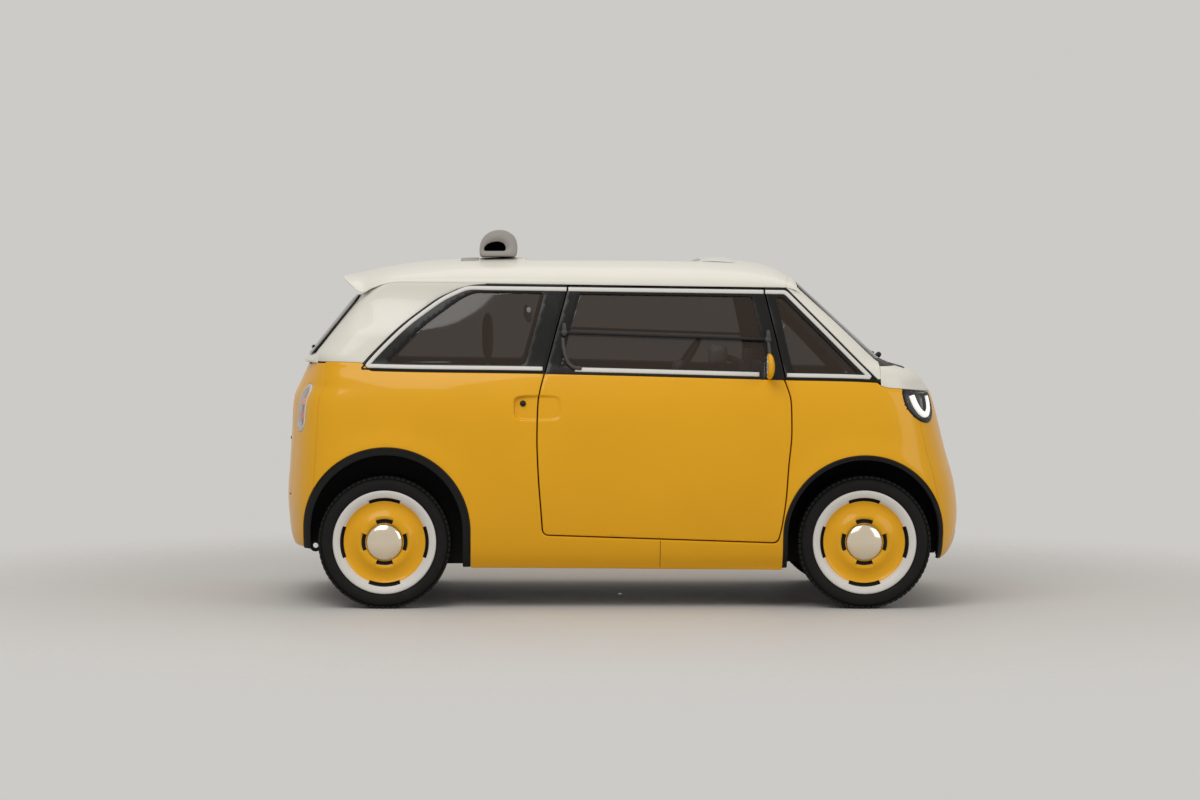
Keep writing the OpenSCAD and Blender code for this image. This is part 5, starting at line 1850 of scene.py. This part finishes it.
@dataclass
class Wheels:
    """Four wheels: dished disc, white ring, dark slots, domed cap and tyre with tread blocks."""

    centre_y: float = 634.5
    centre_z: float = 299.0
    slot_half: float = 21.0

    def face(self) -> Shape:
        """The disc and ring of one wheel, with a mark for each face: yellow, white or dark; the dark is
        painted shade on the slots' shallow floors and also covers the rim's barrel and back.
        """
        profile = np.array(
            [[82, 64], [86, 66], [90, 68.5], [97, 70.5], [104, 71], [112, 70], [120, 66.5], [128, 62],
             [138, 57], [150, 53.5], [162, 52], [172, 53], [180, 56], [184, 58.5], [186.5, 60.5], [189, 63],
             [192, 66], [195, 69.5], [197, 71.5], [200, 74], [205, 77], [212, 80], [219, 82.5], [225, 83.5],
             [229, 83], [232, 81], [233, 78], [233, 73], [230, 70], [212, 67], [209.5, 62], [209, 40],
             [209, -74], [212, -76], [214, -80], [206, -82], [199, -78], [199, 30], [180, 40], [120, 44],
             [60, 44], [46, 30], [20, 28]],
            float,
        )
        count = 288

        def relief(r: Array, angle: Array) -> Array:
            """Presses in four arcs at the ring and four short ones at the cap."""
            turn = np.abs((np.degrees(angle) + 45) % 90 - 45)
            outer = (turn < self.slot_half) & (r > 184.5) & (r < 198)
            inner = (turn < 22) & (r > 88) & (r < 105)
            front = np.cumsum(np.ones_like(r), 0) <= 20
            return np.where((outer | inner) & front, -13.0, 0.0)

        shape = lathe(profile, count, relief)
        marks = []
        for face in shape.faces:
            at = shape.points[list(face)].mean(0)
            r = math.hypot(at[0], at[2])
            turn = abs((math.degrees(math.atan2(at[0], at[2])) + 45) % 90 - 45)
            slot = (turn < self.slot_half and 183 < r < 199) or (turn < 22 and 87 < r < 106)
            row = face[0] // count
            # Mark 2 paints the shallow slot floors near-black as shade; the barrel and back faces take it
            # too.
            marks.append(2 if slot and row < 20 else 0 if row < 15 else 1 if row < 31 else 2)
        shape.marks = marks
        return shape

    def cap(self) -> Shape:
        """The domed cap."""
        r = np.array([0.5, 12, 25, 38, 48, 58, 66, 72, 77, 80, 81.5, 80])
        out = 66 + 24 * np.sqrt(np.clip(1 - (r / 82) ** 2, 0, 1))
        return lathe(np.stack([r, out], -1), 72)

    def carcass(self) -> Shape:
        """The tyre without its tread blocks."""
        profile = [(213, 62), (222, 68), (234.5, 73), (236, 79), (240, 82.5), (246, 85), (254, 86.8)]
        profile += [(262, 87.2), (270, 86.4), (276, 84.4), (281, 81), (285, 76), (288.5, 70), (290.5, 62)]
        crown = []
        for centre in (38.0, 0.0, -38.0):
            wall = [(294.5, 12), (294.2, 5), (288, 4)]
            crown += [(r, centre + off) for r, off in wall]
            crown += [(r, centre - off) for r, off in reversed(wall)]
        other = [(r, -o) for r, o in reversed(profile)]
        line = [(r, o) for r, o in profile] + crown + other
        return lathe(np.array(line, float), 144)

    def tread_tree(self, material: bpy.types.Material) -> bpy.types.NodeTree:
        """A node tree that sets a block many times round a wheel's axis.

        Args:
            material: The blocks' finish.

        Returns:
            The tree, with inputs Geometry, Count, Radius and Turn.
        """
        tree = bpy.data.node_groups.new("tread_blocks", "GeometryNodeTree")
        face = tree.interface
        face.new_socket("Geometry", in_out="INPUT", socket_type="NodeSocketGeometry")
        face.new_socket("Count", in_out="INPUT", socket_type="NodeSocketInt")
        face.new_socket("Radius", in_out="INPUT", socket_type="NodeSocketFloat")
        face.new_socket("Turn", in_out="INPUT", socket_type="NodeSocketFloat")
        face.new_socket("Geometry", in_out="OUTPUT", socket_type="NodeSocketGeometry")
        new, link = tree.nodes.new, tree.links.new
        start, end = new("NodeGroupInput"), new("NodeGroupOutput")
        points = new("GeometryNodePoints")
        index, step, spin = new("GeometryNodeInputIndex"), new("ShaderNodeMath"), new("ShaderNodeMath")
        step.operation, spin.operation = "DIVIDE", "MULTIPLY_ADD"
        link(start.outputs["Count"], points.inputs["Count"])
        link(index.outputs[0], step.inputs[0])
        link(start.outputs["Count"], step.inputs[1])
        link(step.outputs[0], spin.inputs[0])
        spin.inputs[1].default_value = 2 * math.pi
        link(start.outputs["Turn"], spin.inputs[2])
        turn = new("FunctionNodeEulerToRotation")
        vector = new("ShaderNodeCombineXYZ")
        link(spin.outputs[0], vector.inputs["Y"])
        link(vector.outputs[0], turn.inputs[0])
        out = new("ShaderNodeCombineXYZ")
        link(start.outputs["Radius"], out.inputs["Z"])
        rotate = new("FunctionNodeRotateVector")
        link(out.outputs[0], rotate.inputs["Vector"])
        link(turn.outputs[0], rotate.inputs["Rotation"])
        link(rotate.outputs[0], points.inputs["Position"])
        put = new("GeometryNodeInstanceOnPoints")
        link(points.outputs[0], put.inputs["Points"])
        link(start.outputs["Geometry"], put.inputs["Instance"])
        link(turn.outputs[0], put.inputs["Rotation"])
        real, dress = new("GeometryNodeRealizeInstances"), new("GeometryNodeSetMaterial")
        dress.inputs["Material"].default_value = material
        link(put.outputs[0], real.inputs[0])
        link(real.outputs[0], dress.inputs[0])
        link(dress.outputs[0], end.inputs[0])
        return tree

    def block(self, out: float, length: float, width: float, skew: float) -> Shape:
        """One tread block on the wheel's axis line, its top a millimetre below the tyre's edge."""
        a, b = length / 2, width / 2
        low, high = -7.0, 3.4
        corners = ((-a, -b), (a, -b), (a, b), (-a, b))
        ring = lambda s, z: [(x * s + skew * y / b, out + y * s, z) for x, y in corners]
        points = ring(1.0, low) + ring(1.0, high - 1.2) + ring(0.9, high)
        faces = [(8, 9, 10, 11)]
        for k in (0, 4):
            faces += [(k + i, k + (i + 1) % 4, k + 4 + (i + 1) % 4, k + 4 + i) for i in range(4)]
        return Shape(np.array(points, float), faces)

    def tread(self, tree: bpy.types.NodeTree) -> Shape:
        """All tread blocks of one tyre, baked from the node tree."""
        made = None
        rows = (
            (66.0, 20.0, 26.0, 3.0, 0.0),
            (26.0, 19.0, 30.0, -4.0, 0.02),
            (-26.0, 19.0, 30.0, 4.0, 0.045),
            (-66.0, 20.0, 26.0, -3.0, 0.02),
        )
        for out, length, width, skew, turn in rows:
            shape = self.block(out, length, width, skew)
            mesh = bpy.data.meshes.new("tread_block")
            mesh.from_pydata((shape.points * MM).tolist(), [], shape.faces)
            seed = bpy.data.objects.new("tread_block", mesh)
            bpy.context.scene.collection.objects.link(seed)
            tool = seed.modifiers.new("tread", "NODES")
            tool.node_group = tree
            values = {"Count": 72, "Radius": 294.5 * MM, "Turn": turn}
            for item in tree.interface.items_tree:
                if item.in_out == "INPUT" and item.name in values:
                    tool[item.identifier] = values[item.name]
            graph = bpy.context.evaluated_depsgraph_get()
            baked = bpy.data.meshes.new_from_object(seed.evaluated_get(graph))
            points = np.array([v.co for v in baked.vertices], float) / MM
            faces = [tuple(p.vertices) for p in baked.polygons]
            bpy.data.objects.remove(seed)
            part = Shape(points, faces)
            made = part if made is None else made.joined(part)
        return made

    def build(self, shop: Shop) -> None:
        """Makes the four wheels."""
        tree = self.tread_tree(shop.palette["tyre_rubber"])
        disc = self.face()
        tread = self.tread(tree)
        for end, x in (("front", FRONT_AXLE), ("rear", REAR_AXLE)):
            for hand, side in (("right", -1), ("left", 1)):
                body = f"wheel_{end}_{hand}"
                tag = end[0] + hand[0]
                at = (x, side * self.centre_y, self.centre_z)
                put = lambda s: (s.mirrored() if side > 0 else s).moved(at)
                # Yellow dish, white ring, and near-black painted shade for the slots and the rim's back.
                disc_paint_and_slot_shade = ("yellow_paint", "white_trim", "shade_black")
                shop.add(f"{body}_disc", put(disc), disc_paint_and_slot_shade, body, Slot.BODY, (f"wheel_{tag}",))
                shop.add(f"{body}_cap", put(self.cap()), "champagne_metal", body, Slot.ALLOY)
                tyre = put(self.carcass())
                shop.add(f"{body}_tyre", tyre, "tyre_rubber", body, Slot.TYRE, (f"tyre_{tag}",))
                blocks = shop.add(f"{body}_tread", put(tread), "tyre_rubber", body, Slot.TYRE)
                blocks.data.polygons.foreach_set("use_smooth", [False] * len(blocks.data.polygons))


@dataclass(frozen=True)
class Upholstery:
    """Swells a cushion with Blender's cloth under pressure, then sews channels into it."""

    voxel: float = 0.009
    pressure: float = 4.0
    frames: int = 20
    cap: float = 0.012
    groove: float = 9.0

    def swell(self, shape: Shape) -> Shape:
        """Runs the cloth on a voxel copy of the shape.

        Args:
            shape: The cushion in millimetres, a little smaller than it ends.

        Returns:
            The swollen cushion, no point moved further than the cap.
        """
        mesh = bpy.data.meshes.new("pad")
        mesh.from_pydata((shape.points * MM).tolist(), [], shape.faces)
        pad = bpy.data.objects.new("pad", mesh)
        bpy.context.scene.collection.objects.link(pad)
        voxels = pad.modifiers.new("voxels", "REMESH")
        voxels.mode = "VOXEL"
        voxels.voxel_size = self.voxel
        pad.data = bpy.data.meshes.new_from_object(pad.evaluated_get(bpy.context.evaluated_depsgraph_get()))
        pad.modifiers.remove(voxels)
        start = np.array([v.co for v in pad.data.vertices])
        cloth = pad.modifiers.new("cloth", "CLOTH")
        cloth.settings.use_pressure = True
        cloth.settings.uniform_pressure_force = self.pressure
        cloth.settings.effector_weights.gravity = 0.0
        cloth.point_cache.frame_end = self.frames
        for frame in range(1, self.frames + 1):
            bpy.context.scene.frame_set(frame)
        result = pad.evaluated_get(bpy.context.evaluated_depsgraph_get()).to_mesh()
        moved = np.array([v.co for v in result.vertices]) - start
        far = np.linalg.norm(moved, axis=1, keepdims=True)
        moved *= np.minimum(1.0, self.cap / np.maximum(far, 1e-9))
        faces = [tuple(f.vertices) for f in result.polygons]
        bpy.data.objects.remove(pad)
        bpy.context.scene.frame_set(1)
        return Shape((start + moved) / MM, faces)

    def cushion(self, size: Sequence[float], channels: int) -> Shape:
        """A padded block about the origin, with sewn channels across its width.

        Args:
            size: Its depth, width and height.
            channels: Number of channels.

        Returns:
            The cushion's shape.
        """
        small = [max(v - 12, 0.7 * v) for v in size]
        shape = pillow((0, 0, 0), small, 5.0, 44, 84)
        shape = self.swell(shape)
        p = shape.points.copy()
        share = p[:, 1] / (size[1] / 2)
        near = np.abs(np.sin(share * channels * math.pi / 2)) / 0.14
        sewn = np.exp(-(near**2)) * (np.abs(share) < 0.93)
        for axis in (0, 2):
            reach = size[axis] / 2
            p[:, axis] *= 1 - np.minimum(self.groove / reach, 0.16) * sewn
        return Shape(p, shape.faces)


@dataclass
class Interior:
    """Seats, steering wheel and the fittings that show through the glass."""

    seat_y: float = 340.0
    seat_w: float = 470.0
    upholstery: Upholstery = Upholstery()

    def place(self, shape: Shape, centre: Sequence[float], lean: float) -> Shape:
        """Leans a cushion back about the Y axis and puts it in its place."""
        a = math.radians(lean)
        p = shape.points
        x = p[:, 0] * math.cos(a) - p[:, 2] * math.sin(a)
        z = p[:, 0] * math.sin(a) + p[:, 2] * math.cos(a)
        return Shape(np.stack([x, p[:, 1], z], -1) + np.asarray(centre, float), shape.faces)

    def seats(self, shop: Shop) -> None:
        """Makes the front and rear seats."""
        w, y = self.seat_w - 16, self.seat_y
        make = self.upholstery.cushion
        front = {
            "cushion": self.place(make((430, w, 165), 4), (30, -y, 462), 4),
            "back": self.place(make((120, w, 540), 4), (-272, -y, 800), 14),
            "rest": self.place(make((88, 250, 140), 2), (-352, -y, 1160), 8),
        }
        rest = make((50, 190, 220), 2)
        rear = {
            "cushion": self.place(make((236, 1110, 180), 6), (-532, 0, 470), 2),
            "back": self.place(make((62, 1110, 545), 6), (-618, 0, 828), 1),
            "rest_right": self.place(rest, (-622, -300, 1216), 1),
            "rest_left": self.place(rest, (-622, 300, 1216), 1),
        }
        pieces = {f"front_seat_right_{name}": shape for name, shape in front.items()}
        pieces.update({f"front_seat_left_{name}": shape.mirrored() for name, shape in front.items()})
        pieces.update({f"rear_seat_{name}": shape for name, shape in rear.items()})
        stands = {"front_seat_right_cushion": ("front_seats",), "rear_seat_cushion": ("rear_seat",)}
        for name, shape in pieces.items():
            piece = shop.add(name, shape, "seat_cloth", "body", Slot.FABRIC, stands.get(name, ()))
        frame = []
        for side in (-y, y):
            base = pillow((20, side, 352), (400, w - 60, 70), 8.0)
            posts = [tube(np.array([[-318, side + s, 1020], [-350, side + s, 1130]]), 6.5) for s in (-50, 50)]
            frame.append(base.joined(*posts))
        shop.add("seat_frames", frame[0].joined(frame[1]), "black_plastic", "body", Slot.TRIM)

    def wheel(self, shop: Shop) -> None:
        """Makes the steering wheel about its raked axis."""
        a = np.array([-0.83867, 0.0, 0.54464])
        side = np.array([0.0, 1.0, 0.0])
        up = np.cross(side, a) * -1
        centre = np.array([300.0, 320.0, 1050.0])
        at = lambda r, t: centre + r * (math.cos(t) * up + math.sin(t) * side)
        turn = np.linspace(0, 2 * math.pi, 73)[:-1]
        small = np.arange(16) * 2 * math.pi / 16
        rows = []
        for t in turn:
            ray = math.cos(t) * up + math.sin(t) * side
            rows.append(np.stack([at(161, t) + 13.5 * (math.cos(s) * ray + math.sin(s) * a) for s in small]))
        rows.append(rows[0])
        rim = loft(np.stack(rows), wrap=True, caps=False)
        spokes = []
        for t in (math.pi / 2, -math.pi / 2, math.pi):
            ends = np.array([at(20, t) + a * 2, at(90, t) - a * 2, at(156, t)])
            spokes.append(tube(resample(ends, 14, closed=False), 10.0))
        hub = pillow(centre + a * 4, (70, 104, 84), 2.6)
        body = "steering_wheel"
        shop.add("steering_rim", rim.joined(*spokes), "black_plastic", body, Slot.TRIM, (body,))
        shop.add("steering_hub", hub, "grey_plastic", "steering_wheel", Slot.TRIM)

    def fittings(self, shop: Shop) -> None:
        """Makes the display, the dashboard's pads and the belt anchors."""
        screen = pillow((606, 0, 1092), (26, 250, 130), 7.0)
        shop.add("dash_display", screen, "grey_plastic", "body", Slot.TRIM)
        binnacle = pillow((640, 320, 1056), (120, 260, 84), 3.0)
        bend = np.array([[625, 320, 1062], [560, 320, 1096], [500, 320, 1112]], float)
        arm = tube(resample(bend, 12, closed=False), 16)
        shop.add("dash_binnacle", binnacle.joined(arm), "grey_plastic", "body", Slot.TRIM)
        pod = pillow((482, 320, 1117), (86, 230, 104), 4.0)
        shop.add("instrument_pod", pod, "pale_plastic", "body", Slot.TRIM)
        top = pillow((730, 0, 1016), (210, 1150, 60), 5.0)
        shop.add("dash_pad", top, "black_plastic", "body", Slot.TRIM)
        anchors = [pillow((-435, s * 648, 1322), (26, 18, 70), 3.0) for s in (-1, 1)]
        shop.add("belt_anchors", anchors[0].joined(anchors[1]), "grey_plastic", "body", Slot.TRIM)

    def build(self, shop: Shop) -> None:
        """Makes the cabin's fittings."""
        self.seats(shop)
        self.wheel(shop)
        self.fittings(shop)


@dataclass
class WheelHouses:
    """Inner walls of the wheel arches, open round the axles, painted near-black as the shade inside the
    arches.
    """

    front_wall: float = 393.5
    rear_wall: float = 521.5

    def wall(
        self,
        arch: tuple[float, float, float],
        place: float,
        foot: tuple[float, float],
        axle: float,
        door: tuple[float, float],
    ) -> Shape:
        """One wall.

        Args:
            arch: Middle and radius of the arch.
            place: The wall's distance from the car's middle.
            foot: Heights of its lower edge behind and ahead of the opening.
            axle: Middle of the opening.
            door: Half width and height of the opening.

        Returns:
            The right-hand wall.
        """
        cx, cz, radius = arch
        angle = np.radians(np.linspace(0, 180, 80))
        over = np.stack([cx + (radius - 2) * np.cos(angle), cz + (radius - 2) * np.sin(angle)], -1)
        half, top = door
        back, front = foot
        under = [[cx - radius + 2, back], [axle - half, back], [axle - half, top]]
        under += [[axle + half, top], [axle + half, front], [cx + radius - 2, front]]
        face = lambda x, z: np.stack([x, np.full_like(x, -place), z], -1)
        return panel(face, line_xz(over, np.array(under, float)), step=45, edge=18, radius=0.8, hem=1.6)

    def lip(self, arch: tuple[float, float, float], foot: tuple[float, float], width: float) -> Shape:
        """The lip inside one arch's edge, painted near-black as the arch's shade, from its rear foot over to
        its front foot.
        """
        cx, cz, radius = arch
        turn = np.radians(np.linspace(180, 0, 90))
        ring = lambda r: np.stack([cx + r * np.cos(turn), cz + r * np.sin(turn)], -1)
        out, thin = radius - 0.8, radius - width
        outer = line_xz(np.array([[cx - out, foot[0]]]), ring(out), np.array([[cx + out, foot[1]]]))
        inner = line_xz(np.array([[cx - thin, foot[0]]]), ring(thin), np.array([[cx + thin, foot[1]]]))
        face = lambda x, z: FORM.side(x, z) + np.array([0.0, 9.0, 0.0])
        return panel(face, line_xz(outer, inner[::-1]), step=14, edge=9, radius=2, hem=40, inward=level_in)

    def build(self, shop: Shop) -> None:
        """Makes the walls and lips of the four arches."""
        front = self.wall(FORM.front_arch, self.front_wall, (186, 226), FRONT_AXLE, (60, 450))
        rear = self.wall(FORM.rear_arch, self.rear_wall, (288, 188), REAR_AXLE, (60, 350))
        # Walls and lips are painted shade: near-black sheets where the arches lie in shade.
        shop.add("wheel_house_walls", front.joined(rear), "shade_black", "body", Slot.TRIM, (), True)
        front, rear = self.lip(FORM.front_arch, (182, 214), 22), self.lip(FORM.rear_arch, (262, 186), 36)
        shop.add("arch_lips", front.joined(rear), "shade_black", "body", Slot.TRIM, (), True)


@dataclass
class DoorSeals:
    """Dark rubber seals behind the doors' edges and window frames."""

    depth: float = 66.0
    upper_depth: float = 40.0

    def build(self, shop: Shop) -> None:
        """Makes the seals."""
        inset = lambda face, by: lambda x, z: face(x, z) + np.array([0.0, by, 0.0])
        foot = along_x(FORM.door_foot, float(FORM.door_front(300.0)) - 24, float(FORM.door_rear(337.0)) + 24)
        line = line_xz(along_z(FORM.door_front, 1026, 330), foot, along_z(FORM.door_rear, 360, 1052))
        low = strip(inset(FORM.side, self.depth), line, 52, 4, 12)
        rail = lambda x: FORM.rail_z(x) - 4
        back = along_z(FORM.pillar_b, 1062, 1436, 30)
        top = along_x(rail, float(FORM.pillar_b(1446.0)), float(FORM.pillar_a(1440.0)), 60)
        front = along_z(FORM.pillar_a, 1432, 1036, 30)
        high = strip(inset(FORM.cabin, self.upper_depth), line_xz(back, top, front), 46, 4, 12)
        shop.add("door_seals", low.joined(high), "shade_black", "body", Slot.TRIM, (), True)


@dataclass
class Details:
    """Small parts of the outside: handle buttons, sill joint, blank plate and lower grille."""

    def build(self, shop: Shop) -> None:
        """Makes the details and dresses the CAD nodes that stay."""
        x, z = HANDLE.button
        foot = HANDLE.dished(np.array([x]), np.array([z]))[0]
        button = tube(np.array([foot + (0, 6, 0), foot + (0, -3, 0)]), 14.0, 24)
        shop.add("handle_buttons", button, "black_gloss", "body", Slot.TRIM, (), True)
        line = np.array([[155.0, 186.0], [155.0, 310.0]])
        seam = strip(FORM.side, line, 2.4, 0.5, 6)
        shop.add("sill_joint", seam, "shade_black", "body", Slot.TRIM, (), True)
        out = lambda by: lambda y, v: FORM.nose(y, v) + np.array([by, 0.0, 0.0])
        slot = np.array([[-360, 262], [360, 262], [360, 330], [-360, 330]], float)
        grille = soften(resample(slot, 4), 50, 4)
        shape = panel(out(1.5), grille, step=30, edge=9, radius=2, hem=6)
        shop.add("lower_grille", shape, "black_plastic", "body", Slot.TRIM)
        plate = resample(np.array([[-230, 380], [230, 380], [230, 480], [-230, 480]], float), 6)
        shape = panel(out(4.0), plate, step=40, edge=16, radius=1, hem=6)
        shop.add("front_plate_blank", shape, "white_trim", "body", Slot.WHITE)
        for node in ("floor_pan", "arch_liners", "dashboard"):
            shop.dress(node, "black_plastic")
        for node in ("front_suspension", "rear_axle", "knuckle_right", "knuckle_left"):
            shop.dress(node, "chassis_black")
        for node in ("battery_pack", "drive_unit"):
            shop.dress(node, "cast_alloy")


@dataclass
class Studio:
    """Floor, soft lights and the camera at the place of the photograph's."""

    camera_at: tuple[float, float, float] = (-0.574, -15.745, 1.497)
    lens: float = 100.26
    shift: tuple[float, float] = (0.085, -0.1033)
    ambient: float = 0.45
    backdrop: tuple[float, float, float] = (0.61, 0.595, 0.57)
    lamps: tuple[tuple, ...] = (
        ("key_light", (-2.5, -5.5, 6.5), (0.0, 0.0, 0.6), 5.0, 265.0),
        ("top_light", (0.5, 1.0, 6.0), (0.0, 0.0, 0.8), 5.0, 62.0),
        ("fill_light", (6.0, -5.0, 3.5), (0.4, 0.0, 0.8), 4.0, 95.0),
    )

    def floor(self) -> None:
        """Makes the pale floor, a wide disc that fades into the background."""
        kit = ShaderKit("pale_floor")
        kit.set(Base_Color=kit.blend((0.60, 0.585, 0.56), (0.63, 0.615, 0.59), kit.noise(0.6)))
        kit.set(Roughness=0.6 + 0.1 * kit.noise(3.0), Specular_IOR_Level=0.2)
        far = kit.node("ShaderNodeVectorMath", {"operation": "LENGTH"})
        kit.tree.links.new(kit.coords, far.inputs[0])
        fade = kit.node("ShaderNodeMapRange", {"interpolation_type": "SMOOTHSTEP"})
        kit.feed(fade.inputs["Value"], far.outputs["Value"])
        for socket, value in zip(("From Min", "From Max", "To Min", "To Max"), (1.9, 4.4, 1.0, 0.0)):
            fade.inputs[socket].default_value = value
        kit.set(Alpha=fade.outputs["Result"])
        turn = np.linspace(0, 2 * math.pi, 97)[:-1]
        rows = [np.stack([r * np.cos(turn), r * np.sin(turn), 0 * turn], -1) for r in (15.0, 8.0, 4.0, 0.01)]
        shape = loft(np.stack(rows), wrap=True, caps=False)
        mesh = bpy.data.meshes.new("floor")
        mesh.from_pydata(shape.points.tolist(), [], shape.faces)
        mesh.materials.append(kit.material)
        piece = bpy.data.objects.new("floor", mesh)
        bpy.context.scene.collection.objects.link(piece)

    def world(self) -> None:
        """Makes the even light all round and the pale background behind the car."""
        world = bpy.data.worlds.new("studio")
        world.use_nodes = True
        tree = world.node_tree
        light = tree.nodes["Background"]
        light.inputs[0].default_value = (1.0, 0.985, 0.96, 1.0)
        light.inputs[1].default_value = self.ambient
        back = tree.nodes.new("ShaderNodeBackground")
        back.inputs[0].default_value = (*self.backdrop, 1.0)
        rays = tree.nodes.new("ShaderNodeLightPath")
        seen = Sock(tree, rays.outputs["Is Camera Ray"])
        for other in ("Is Glossy Ray", "Is Transmission Ray"):
            seen = seen + Sock(tree, rays.outputs[other])
        mix = tree.nodes.new("ShaderNodeMixShader")
        tree.links.new(seen.out, mix.inputs[0])
        tree.links.new(light.outputs[0], mix.inputs[1])
        tree.links.new(back.outputs[0], mix.inputs[2])
        tree.links.new(mix.outputs[0], tree.nodes["World Output"].inputs[0])
        bpy.context.scene.world = world

    def lights(self) -> None:
        """Makes three large soft lamps."""
        for name, place, aim, size, power in self.lamps:
            lamp = bpy.data.lights.new(name, "AREA")
            lamp.size = size
            lamp.energy = power
            made = bpy.data.objects.new(name, lamp)
            made.location = place
            made.rotation_euler = (Vector(aim) - Vector(place)).to_track_quat("-Z", "Y").to_euler()
            bpy.context.scene.collection.objects.link(made)

    def camera(self) -> None:
        """Makes the camera."""
        data = bpy.data.cameras.new("camera")
        data.lens = self.lens
        data.sensor_width = 36.0
        data.shift_x, data.shift_y = self.shift
        made = bpy.data.objects.new("camera", data)
        made.location = self.camera_at
        made.rotation_euler = (math.pi / 2, 0.0, 0.0)
        bpy.context.scene.collection.objects.link(made)
        bpy.context.scene.camera = made

    def build(self) -> None:
        """Makes the studio."""
        self.floor()
        self.world()
        self.lights()
        self.camera()
        bpy.context.scene.view_settings.view_transform = "Standard"


def main() -> None:
    """Builds the car's pieces in order."""
    logging.basicConfig(level=logging.INFO, format="%(name)s: %(message)s")
    for left in list(bpy.data.objects):
        bpy.data.objects.remove(left)
    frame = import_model()
    shop = Shop(frame, Palette())
    outside = (BodySides(), Doors(), Cabin(), Ends(), TAIL_LAMP, HeadLamps(), Roof(), Wheels())
    for part in (*outside, Interior(), WheelHouses(), DoorSeals(), Details()):
        part.build(shop)
        LOG.info("%s built", type(part).__name__)
    Studio().build()


if __name__ == "__main__":
    main()
